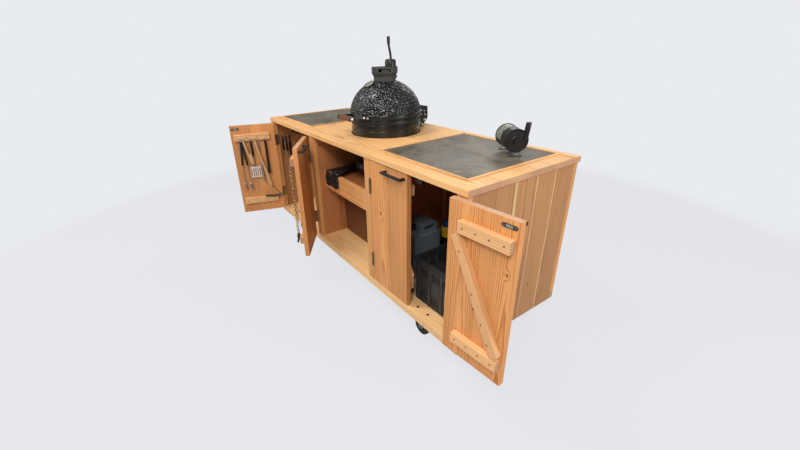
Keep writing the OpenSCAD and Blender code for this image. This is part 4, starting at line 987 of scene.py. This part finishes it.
class KITCHEN_OT_crate(bpy.types.Operator):
    """Crate with its ribbed rim, posts and blank panels, and what stands in it"""
    bl_idname = "kitchen.crate"
    bl_label = "Crate"

    def execute(self, context):
        m = finishes()
        dress("crate", m["crate"], 0)
        low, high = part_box("crate")
        self.ribs(low + Vector(mm(5, 5, 0)), high - Vector(mm(5, 5, 0)), m["crate"])
        self.contents(low, high.z - low.z, [m[key] for key in ("cloth", "plastic", "red", "yellow", "blue")])
        return {"FINISHED"}

    def ribs(self, low, high, material):
        """Three thin belts round the rim, and the relief of the four sides."""
        bm = bmesh.new()
        inner, outer, thick = mm(5, 9, 3.4)
        for drop in mm(0.2, 12, 24):
            z0, z1 = high.z - drop - thick, high.z - drop
            for y0, y1 in ((low.y - outer, low.y - inner), (high.y + inner, high.y + outer)):
                block(bm, (low.x - outer, y0, z0), (high.x + outer, y1, z1))
            for x0, x1 in ((low.x - outer, low.x - inner), (high.x + inner, high.x + outer)):
                block(bm, (x0, low.y - inner, z0), (x1, high.y + inner, z1))
        for side in range(4):
            self.wall(bm, low, high, side)
        keep(bm, "crate_ribs", material, "cabinet", smooth=30)

    def wall(self, bm, low, high, side):
        """Fins under the rim, posts between the panels, four rails and a blank plate in each panel of one side."""
        size, middle = high - low, (low + high) / 2
        along, across, panels = (size.x, size.y, 3) if side < 2 else (size.y, size.x, 4)
        turn = Matrix.Rotation(math.radians((0, 180, 90, 270)[side]), 4, "Z")
        turn = Matrix.Translation((middle.x, middle.y, low.z)) @ turn
        face, half, tall = -across / 2, along / 2, size.z
        edge, sink = 0.022, 0.0001
        pitch = (along - 2 * edge) / panels

        def relief(x, half_wide, proud, z0, z1, rounding):
            block(bm, (x - half_wide, face - proud, z0), (x + half_wide, face + sink, z1), rounding, 0, turn, 1)

        for i in range(1, 4 * panels):
            x = -half + i * along / (4 * panels)
            block(bm, (x - 0.0010, face - 0.0066, tall - 0.0275), (x + 0.0010, face - 0.005, tall - 0.001),
                  matrix=turn)
        for i in range(panels + 1):
            x = max(min(-half + edge + i * pitch, half - 0.009), -half + 0.009)
            relief(x, 0.008, 0.0044, 0.004, tall - 0.028, 0.0008)
        for z in (0.010, 0.0725, 0.1605, tall - 0.0400):
            relief(0, half, 0.0036, z, z + 0.006, 0.0006)
        for i in range(panels):
            relief(-half + edge + (i + 0.5) * pitch, 0.030, 0.0018, 0.084, 0.155, 0.0008)

    def contents(self, low, tall, materials):
        """A soft pouch, a box with its lid, two spray bottles and a bottle with a blue cap."""
        cloth, plastic, red, yellow, blue = range(5)
        low, tall = low + Vector(mm(8, 8, 3)), tall - 0.003
        wide, deep, lift, pouch_tall = 0.294, 0.394, 0.0003, 0.19
        bm = bmesh.new()
        pouch = block(bm, low + Vector((0.009, 0.008, lift)), low + Vector((0.128, 0.149, pouch_tall)), 0.022, cloth,
                      segments=4)
        for v in pouch:
            rise = (v.co.z - low.z) / pouch_tall
            v.co.y += 0.010 * math.sin(7 * v.co.x / 0.12) * rise
            v.co.x += (0.0684 + low.x - v.co.x) * 0.22 * rise * rise
        box, far = low + Vector((wide * 0.44, deep * 0.51, lift)), Vector((wide * 0.96, deep * 0.96, 0))
        block(bm, box, low + far + UP * tall * 0.55, 0.006, plastic, segments=3)
        block(bm, box + Vector((-0.002, -0.002, tall * 0.50)), low + far + Vector((0.002, 0.002, tall * 0.57)), 0.004,
              plastic, segments=3)
        for x, y, r, h in ((0.65, 0.18, 0.135, 0.85), (0.24, 0.56, 0.115, 0.92)):
            at, r, h = low + Vector((wide * x, deep * y, lift)), wide * r, tall * h
            lathe(bm, [(0, 0), (r * 0.92, 0), (r, 0.004), (r, h * 0.62), (r * 0.92, h * 0.70), (r * 0.45, h * 0.80),
                       (r * 0.40, h * 0.86), (0, h * 0.86)], at, UP, 40, plastic)
            lathe(bm, [(0, h * 0.84), (r * 0.48, h * 0.84), (r * 0.48, h * 0.91), (0, h * 0.91)], at, UP, 24, red)
            head = at + UP * h * 0.91
            for a, b, rounding in (((-12, -30, 0), (12, 18, 20), 0.004), ((-4, -36, -30), (4, -26, 6), 0.003)):
                block(bm, head + Vector(mm(*a)), head + Vector(mm(*b)), rounding, red)
        at = Vector((0.505, 0.095, 0.1763))
        for steps, index, profile in (
                (48, plastic, mm((0, 0), (34, 0), (37, 3), (37, 192), (0, 192))),
                (48, yellow, mm((0, 192), (37, 192), (37, 225), (35, 240), (30, 252), (28.5, 255.2), (0, 255.2))),
                (40, blue, mm((0, 255), (29.6, 255), (29.6, 286), (28, 289.5), (0, 289.5)))):
            lathe(bm, profile, at, UP, steps, index)
        keep(bm, "crate_supplies", materials, "cabinet", ("crate_contents",), 35)


class KITCHEN_OT_jerrycan(bpy.types.Operator):
    """Translucent jerrycan with its ribbed cap"""
    bl_idname = "kitchen.jerrycan"
    bl_label = "Jerrycan"

    def execute(self, context):
        m = finishes()
        # The can's colour holds painted shade
        dress("jerrycan", m["can"], 0.0075, 0.018)
        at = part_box("jerrycan")[0] + Vector(mm(62.5, 22.4, 295.7))
        ribs = 30
        bm = bmesh.new()
        lathe(bm, mm((0, 25.4), (20.3, 25.4), (20.3, -0.3), (20.9, -0.3), (20.9, 25), (20, 26.2), (0, 26.2)), at,
              steps=48)
        for i in range(ribs):
            turn = Matrix.Translation(at) @ Matrix.Rotation(i * math.tau / ribs, 4, "Z")
            block(bm, mm(20.6, -1.1, 1), mm(21.9, 1.1, 24), 0, 0, turn)
        keep(bm, "jerrycan_cap", m["green"], "cabinet", smooth=35)
        return {"FINISHED"}


class KITCHEN_OT_gloves(bpy.types.Operator):
    """Two leather gloves over the shelf rail"""
    bl_idname = "kitchen.gloves"
    bl_label = "Gloves"

    def execute(self, context):
        edge = Vector((0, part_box("shelf_rails")[0].y, 0.6583))
        for number, (x, turn, rise, long) in enumerate(((-0.231, 0, 0.0, 0.255), (-0.145, 14, 0.022, 0.200))):
            rough = self.form(number, turn, rise, long)
            self.glove(number, rough, edge + Vector((x, 0, 0)), rise)
        return {"FINISHED"}

    def blob(self, bm, at, size, turn=0):
        place = Matrix.Translation(at) @ Matrix.Rotation(math.radians(turn), 4, "Z") @ Matrix.Diagonal((*size, 1))
        bmesh.ops.create_icosphere(bm, subdivisions=3, radius=1.0, matrix=place)

    def limb(self, bm, points, radii):
        """A row of balls close enough to melt into one finger."""
        for (p, r), (q, s) in zip(zip(points, radii), zip(points[1:], radii[1:])):
            p, q = Vector(p), Vector(q)
            steps = max(2, int((q - p).length / 0.004))
            for i in range(steps + 1):
                t = i / steps
                bmesh.ops.create_icosphere(bm, subdivisions=2, radius=r + (s - r) * t,
                                           matrix=Matrix.Translation(p.lerp(q, t)))

    def form(self, number, turn, rise, long):
        """The cuff on the shelf, the palm over the rail's edge, four fingers down its face and a thumb."""
        bm = bmesh.new()
        lean = math.radians(turn)
        count, first, middle = int(long / 0.020), 0.020, 0.007
        for i in range(count + 1):
            t = i / count
            y = first + t * (long - 0.036)
            wide = 0.038 + 0.004 * t + 0.0015 * math.sin(9 * t + number)
            lift = rise * min(1.0, 0.35 + 2.2 * t)
            self.blob(bm, (middle - y * math.sin(lean), 0.004 + y * math.cos(lean), 0.0118 + lift),
                      (wide, 0.024, 0.0112 + 0.0010 * math.sin(14 * t)), turn)
        self.blob(bm, (middle, 0.004, 0.0110 + rise * 0.3), (0.041, 0.022, 0.0115))
        self.blob(bm, (middle, -0.008, -0.010), (0.040, 0.0068, 0.032))
        for i in range(4):
            x = -0.025 + i * 0.021
            drop = -0.074 - 0.012 * math.sin(math.radians(45 + i * 45))
            sway = 0.003 * math.sin(2.1 * i + number)
            self.limb(bm, [(x, -0.0080, -0.022), (x + sway, -0.0086, -0.048),
                           (x + sway * 0.4, -0.0082, drop + 0.004)], mm(8.5, 8.2, 7))
        side = 1 if number == 0 else -1
        base = middle + side * 0.030
        self.limb(bm, [(base, 0.004, 0.012), (base + side * 0.004, -0.0085, -0.004),
                       (base + side * 0.005, -0.0090, -0.034)], mm(10, 8.5, 7))
        return link("glove_rough", to_mesh(bm, "glove_rough"))

    def glove(self, number, rough, at, rise):
        """Melts the balls into one skin, with folds, that stays on the shelf and in front of the rail."""
        melt = rough.modifiers.new("melt", "REMESH")
        melt.mode = "VOXEL"
        melt.voxel_size = 0.0022
        soften = rough.modifiers.new("soften", "SMOOTH")
        soften.factor, soften.iterations = 0.6, 5
        graph = bpy.context.evaluated_depsgraph_get()
        final = bpy.data.meshes.new_from_object(rough.evaluated_get(graph))
        bpy.data.objects.remove(rough)
        bm = bmesh.new()
        bm.from_mesh(final)
        bpy.data.meshes.remove(final)
        deep, gap = 0.0007, 0.0006
        for v in bm.verts:
            fold = math.sin(160 * v.co.x + 40 * math.sin(60 * v.co.y + number)) * math.sin(190 * (v.co.y + v.co.z))
            fold += 0.5 * math.sin(420 * v.co.z + 90 * v.co.x)
            v.co += v.normal * deep * fold
            if v.co.y > 0.0:
                v.co.z = max(v.co.z, gap + (rise if v.co.y > 0.07 else 0.0))
            if v.co.z < 0.0:
                v.co.y = min(v.co.y, -gap)
        bmesh.ops.translate(bm, vec=at, verts=bm.verts)
        names = ("gloves",) if number == 0 else ()
        glove = keep(bm, "glove_%d" % (number + 1), finishes()["hide"], "cabinet", names, 60)


class KITCHEN_OT_fan(bpy.types.Operator):
    """Charcoal fan: drum with rolled rims, spout, hub with a small bow, vents, plain label band and wire feet"""
    bl_idname = "kitchen.fan"
    bl_label = "Fan"

    def execute(self, context):
        m = finishes()
        low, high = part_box("fan")
        half, r, foot = mm(73, 56, 74)
        place = Matrix.Translation((0.835, 0.163, low.z + foot)) @ Matrix.Rotation(math.radians(56.5), 4, "Z")
        self.drum(place, half, r, high.z - low.z - foot, [m["plastic"], m["plate"]])
        self.band(place, half, r, m["label"])
        return {"FINISHED"}

    def drum(self, place, half, r, top, materials):
        """The drum lies along the second axis; its crank side is the low end."""
        ahead = (0, 1, 0)
        bm = bmesh.new()
        # Radius and level of the low end, then of the high end; some radii are counted in from the drum's own
        crank_end = [(0, 0.0020), (0.020, 0.0020), (0.022, 0.0034), (r - 0.007, 0.0034), (r - 0.004, 0),
                     (r - 0.001, 0), (r, 0.002), (r, 0.006), (r - 0.002, 0.008)]
        vent_end = [(r - 0.002, 0.008), (r, 0.006), (r, 0.002), (r - 0.001, 0), (r - 0.004, 0), (r - 0.007, 0.003),
                    (0, 0.003)]
        lathe(bm, [(x, z - half) for x, z in crank_end] + [(x, half - z) for x, z in vent_end], (0, 0, 0), ahead, 72)
        for v in block(bm, (r - 0.025, -half, 0.0), (r - 0.005, -half + 0.021, top), 0.0025):
            v.co.x += 0.010 * max(v.co.z, 0) / top
        ground = -0.072
        for y in (-half + 0.004, half - 0.004):
            for s in (-1, 1):
                wire(bm, [(s * 0.016, y, -r + 0.006), (s * 0.019, y, -r - 0.004), (s * 0.026, y, ground + 0.004),
                          (s * 0.030, y, ground)], 0.0018, index=1)
            wire(bm, [(-0.034, y, ground), (0.034, y, ground)], 0.0019, index=1)
        lathe(bm, mm((0, -4), (9, -4), (10, -2), (10, 4), (0, 4)), (0, -half, 0), ahead, 32)
        wire(bm, arc((0.003, -half - 0.0055, 0.0), (1, 0, 0), 0.010, 95, 265, 10), 0.0017, index=1)
        for i in range(6):
            at = Matrix.Rotation(i * math.tau / 6, 4, "Y")
            for x in mm(16, 27, 38):
                block(bm, (x, half - 0.0035, -0.003), (x + 0.006, half - 0.0022, 0.003), 0.0005, 1, at, 1)
        bmesh.ops.transform(bm, matrix=place, verts=bm.verts)
        keep(bm, "fan_drum", materials, "cabinet", ("fan",), 35)

    def band(self, place, half, r, material):
        """The label: a thin sheet bent round the drum, 52 degrees to each side of its middle."""
        middle, spread, inset = 138, 52, 0.0012
        bm = bmesh.new()
        for v in bmesh.ops.create_grid(bm, x_segments=40, y_segments=2, size=1)["verts"]:
            turn = math.radians(middle + v.co.x * spread)
            y = v.co.y * (half - 0.0105) * 0.55 + half * 0.36
            v.co = Vector((math.cos(turn) * (r - inset), y, math.sin(turn) * (r - inset)))
        put(bm, place)
        if sum((f.calc_center_median() - place.translation).dot(f.normal) for f in bm.faces) < 0:
            bmesh.ops.reverse_faces(bm, faces=bm.faces)
        bmesh.ops.solidify(bm, geom=bm.faces, thickness=0.0004)
        keep(bm, "fan_band", material, "cabinet", smooth=40)


class KITCHEN_OT_tools(bpy.types.Operator):
    """Grilling tools on the left door, on the second door and on the side panel"""
    bl_idname = "kitchen.tools"
    bl_label = "Hanging tools"
    # Out of the ledge's face, and from a hook down to where its tool begins
    out = LEDGE_FACE + 0.006
    drop = 0.0107

    def execute(self, context):
        m = finishes()
        self.left_door([m[key] for key in ("steel", "plastic", "pale_wood", "blade")])
        self.second_door([m[key] for key in ("steel", "brass", "plastic")])
        self.side_panel([m[key] for key in ("steel", "plastic")])
        return {"FINISHED"}

    def hang(self, bm, u, v, z):
        """A screw hook with the ring that hangs on it."""
        at = Vector((u, v, z))
        wire(bm, [at + Vector(p) for p in mm((0, -1, 0), (0, 10, 0), (0, 12, 1.5), (0, 12.2, 8))], 0.0015)
        wire(bm, arc(at + Vector(mm(0, 6, -3.7)), (1, 0, 0), 0.007, 0, 345, 22), 0.0014, closed=True)

    def rods(self, bm, out, top, *rows):
        """Bars in mm: place along, out and down of both ends, both radii; then their sides and material."""
        for u0, v0, down0, u1, v1, down1, r0, r1, sides, index in rows:
            at = Vector((0, out, top))
            rod(bm, at + Vector(mm(u0, v0, -down0)), at + Vector(mm(u1, v1, -down1)), *mm(r0, r1), sides, index)

    def left_door(self, materials):
        """Tongs, a wooden spoon, a spatula, a scraper with its bow and brush, and two long tools on six hooks."""
        steel, black, wood, blade = range(4)
        hooks = 0.792
        v, top = self.out, hooks - self.drop
        bm = bmesh.new()
        for u in mm(262, 244, 190, 158, 132, 80):
            self.hang(bm, u, LEDGE_FACE, hooks)
        self.rods(bm, v, top,
                  (262, 0, 0, 280, 0, 188, 6.8, 8.2, 16, black), (280, 0, 186, 282, 0, 330, 3.4, 2.8, 12, steel),
                  (258, 0, 8, 240, 16, 188, 6.8, 8.2, 16, black), (240, 16, 186, 239, 16, 330, 3.4, 2.8, 12, steel),
                  (244, 0, 0, 218, 14, 112, 7, 8, 16, wood),
                  (190, 0, 0, 187, 0, 120, 7, 8, 16, black), (187, 0, 118, 185, 0, 214, 3.4, 2.8, 12, steel),
                  (158, 0, 0, 150, 13, 40, 7, 8, 16, wood), (150, 13, 38, 80, 14, 372, 8.5, 11.5, 18, wood),
                  (132, 0, 0, 133, 0, 190, 3.4, 3, 12, steel), (133, 0, 188, 128, 3, 340, 5.5, 6.5, 16, steel),
                  (80, 0, 0, 82, 0, 270, 8, 10.5, 18, black))
        for u, lean in mm((282, 0), (238, 16)):
            lathe(bm, mm((0, 0), (4, 4), (10, 22), (11, 40), (7, 58), (0, 64)), (u, v + lean, top - 0.328),
                  (0, 0, -1), 16, steel)
        spoon = top - 0.100
        for each in block(bm, (0.198, v + 0.011, top - 0.180), (0.226, v + 0.017, spoon), 0.0025, wood):
            down = spoon - each.co.z
            each.co.x -= down * 0.20
            each.co.y += down * 0.07
        self.blade(bm, (0.146, 0.224), v, (top - 0.296, top - 0.206), blade)
        for u in mm(16, 130):
            wire(bm, [(0.080, v + 0.014, top - 0.366), ((0.080 + u) / 2, v + 0.0145, top - 0.412),
                      (u, v + 0.014, top - 0.452)], 0.0019)
        brush = [(0.004 + i * 0.0138, v + 0.014, top - 0.458 - 0.006 * math.sin(math.pi * i / 10)) for i in range(11)]
        wire(bm, brush, 0.0086, 14, index=black)
        put(bm, on_door("a"))
        keep(bm, "door_a_gear", materials, "door_a", ("door_a_tools",), 40)

    def blade(self, bm, us, v, zs, index):
        """A slotted spatula blade: strips between five slots, with a border."""
        low, high = us
        border, slots, half_strip = 0.010, 5, 0.0045
        for z0, z1 in ((zs[0], zs[0] + border), (zs[1] - border * 1.6, zs[1])):
            block(bm, (low, v - 0.0008, z0), (high, v + 0.0012, z1), 0.0005, index, segments=1)
        for i in range(slots + 1):
            u = low + i * (high - low) / slots
            block(bm, (max(u - half_strip, low), v - 0.0007, zs[0] + 0.002),
                  (min(u + half_strip, high), v + 0.0011, zs[1] - 0.002), 0.0004, index, segments=1)

    def second_door(self, materials):
        """Two twisted skewers and a chain with its clip on the second door's ledge."""
        steel, brass, black = range(3)
        hooks, twist, links = 0.790, 0.0022, 34
        v, top = self.out, hooks - self.drop
        bm = bmesh.new()
        for u, long in mm((262, 360), (226, 390)):
            self.hang(bm, u, LEDGE_FACE, hooks)
            turns = [(k * 1.25, top - k * long / 40) for k in range(1, 40)]
            points = [(u + twist * math.cos(t), v + twist * math.sin(t) + 0.001, z) for t, z in turns]
            wire(bm, [(u, v, top - 0.001), *points, (u, v, top - long)], 0.0016, 6, index=steel)
        chain = 0.286
        self.hang(bm, chain, LEDGE_FACE, hooks)
        for k in range(links):
            at = (chain, v + 0.002, hooks - 0.020 - k * 0.0135)
            wire(bm, arc(at, ((1, 0, 0), (0, 1, 0))[k % 2], 0.0085, 0, 330, 11), 0.0021, 6, True, brass)
        block(bm, (0.272, v - 0.005, 0.300), (0.300, v + 0.012, 0.322), 0.004, black)
        rod(bm, (chain, v + 0.003, 0.302), (0.262, v + 0.020, 0.250), 0.0075, 0.0065, 14, black)
        put(bm, on_door("b"))
        keep(bm, "door_b_skewers", materials, "door_b", smooth=50)

    def side_panel(self, materials):
        """Two forks and a flat brush on the left side panel, in coordinates from their hooks' level."""
        bm = bmesh.new()
        for y in mm(62, 88, 120):
            self.hang(bm, y, 0, 0)
        down = self.drop * 1000
        self.rods(bm, 0.008, 0,
                  (62, 0, down, 58, 1, 120, 7, 9, 14, 1), (58, 0, 118, 56, 0, 180, 3.4, 3, 12, 0),
                  (88, 0, down, 91, 1, 130, 7, 9, 14, 1), (91, 0, 128, 92, 0, 190, 3.4, 3, 12, 0),
                  (120, 0, down, 120, 0, 62, 6, 6, 14, 1))
        block(bm, mm(109, 3, -170), mm(131, 11, -60), 0.0015, 1)
        turn = Matrix.Rotation(math.radians(-90), 4, "Z") @ Matrix.Diagonal((-1, 1, 1, 1))
        put(bm, Matrix.Translation((-1.042, -0.370, 0.782)) @ turn)
        keep(bm, "side_gear", materials, "cabinet", ("side_tools",), 40)


class KITCHEN_OT_stage(bpy.types.Operator):
    """Pale floor, soft lamps and the camera"""
    bl_idname = "kitchen.stage"
    bl_label = "Stage"

    def execute(self, context):
        settings = context.scene.kitchen_stage
        backdrop = tuple(settings.backdrop)
        self.floor(backdrop)
        self.world(backdrop)
        for name, at, size, power in (("key", (2.6, -2.6, 3.6), 1.2, 112), ("right", (3.6, 0.9, 1.7), 1.2, 44),
                                      ("fill", (-2.8, -3.0, 2.4), 2.0, 44), ("top", (-0.7, -1.6, 4.1), 0.9, 66),
                                      ("back", (-1.5, 3.2, 3.0), 2.0, 28)):
            self.lamp(name, at, size, power)
        self.camera(context.scene, settings.lens)
        context.scene.view_settings.view_transform = "Standard"
        return {"FINISHED"}

    def camera(self, scene, lens):
        camera = link("camera", bpy.data.cameras.new("camera"))
        camera.location = (1.95009, -1.346, 1.41804)
        camera.rotation_euler = (1.1458, 0.0282, 0.9704)
        camera.data.sensor_width = 36
        camera.data.lens = lens
        camera.data.shift_x, camera.data.shift_y = 0.02403, -0.01233
        camera.data.clip_start = 0.02
        scene.camera = camera

    def lamp(self, name, at, size, power):
        """A square soft lamp that points at the kitchen."""
        lamp = link(name, bpy.data.lights.new(name, "AREA"))
        lamp.data.size = size
        lamp.data.energy = power
        lamp.location = at
        lamp.rotation_euler = (Vector((0, 0, 0.6)) - Vector(at)).to_track_quat("-Z", "Y").to_euler()

    def floor(self, backdrop):
        """A matt disc that the camera sees almost as the backdrop, and wholly so far from the kitchen."""
        g = material("floor")
        far = g.smooth(g.vector("LENGTH", g.place()), 1.4, 3.4)
        seen = g.add("LightPath").outputs["Is Camera Ray"]
        matt = g.add("BsdfDiffuse", {"Color": (0.50, 0.49, 0.47)}).outputs[0]
        flat = g.add("Emission", {"Color": backdrop}).outputs[0]
        share = g.times(g.math("MAXIMUM", far, 0.86), seen)
        g.add("OutputMaterial", {"Surface": g.add("MixShader", {0: share, 1: matt, 2: flat}).outputs[0]})
        bm = bmesh.new()
        bmesh.ops.create_circle(bm, cap_ends=True, segments=96, radius=14)
        floor = link("floor", to_mesh(bm, "floor"))
        floor.data.materials.append(g.owner)

    def world(self, backdrop):
        """Soft light from all around; the camera sees the plain backdrop instead."""
        world = bpy.data.worlds.new("studio")
        bpy.context.scene.world = world
        g = Graph(world)
        seen = g.add("LightPath").outputs["Is Camera Ray"]
        soft = g.add("Background", {"Color": (1.0, 0.985, 0.96), "Strength": 0.36}).outputs[0]
        plain = g.add("Background", {"Color": backdrop}).outputs[0]
        g.add("OutputWorld", {"Surface": g.add("MixShader", {0: seen, 1: soft, 2: plain}).outputs[0]})


class KITCHEN_PT_panel(bpy.types.Panel):
    """Lists the kitchen's operators"""
    bl_idname = "KITCHEN_PT_panel"
    bl_label = "Outdoor kitchen"
    bl_space_type = "VIEW_3D"
    bl_region_type = "UI"
    bl_category = "Kitchen"

    def draw(self, context):
        for operator in OPERATORS:
            self.layout.operator(operator.bl_idname)


GROUPS = {
    "kitchen_timber": TimberSettings,
    "kitchen_tiles": TileSettings,
    "kitchen_kamado": KamadoSettings,
    "kitchen_fittings": FittingSettings,
    "kitchen_gear": GearSettings,
    "kitchen_stage": StageSettings,
}
OPERATORS = (KITCHEN_OT_stage, KITCHEN_OT_timber, KITCHEN_OT_tiles, KITCHEN_OT_doors, KITCHEN_OT_fittings,
             KITCHEN_OT_castors, KITCHEN_OT_kamado, KITCHEN_OT_kamado_fittings, KITCHEN_OT_crate,
             KITCHEN_OT_jerrycan, KITCHEN_OT_gloves, KITCHEN_OT_fan, KITCHEN_OT_tools)


def register():
    for each in (*GROUPS.values(), *OPERATORS, KITCHEN_PT_panel):
        bpy.utils.register_class(each)
    for name, group in GROUPS.items():
        setattr(bpy.types.Scene, name, PointerProperty(type=group))


def unregister():
    for name in GROUPS:
        delattr(bpy.types.Scene, name)
    for each in (KITCHEN_PT_panel, *reversed(OPERATORS), *reversed(list(GROUPS.values()))):
        bpy.utils.unregister_class(each)


def main():
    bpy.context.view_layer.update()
    register()
    bpy.ops.kitchen.stage()
    bpy.ops.kitchen.timber()
    bpy.ops.kitchen.tiles()
    bpy.ops.kitchen.doors()
    bpy.ops.kitchen.fittings()
    bpy.ops.kitchen.castors()
    bpy.ops.kitchen.kamado()
    bpy.ops.kitchen.kamado_fittings()
    bpy.ops.kitchen.crate()
    bpy.ops.kitchen.jerrycan()
    bpy.ops.kitchen.gloves()
    bpy.ops.kitchen.fan()
    bpy.ops.kitchen.tools()
    bpy.context.view_layer.update()
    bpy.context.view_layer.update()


if __name__ == "__main__":
    main()
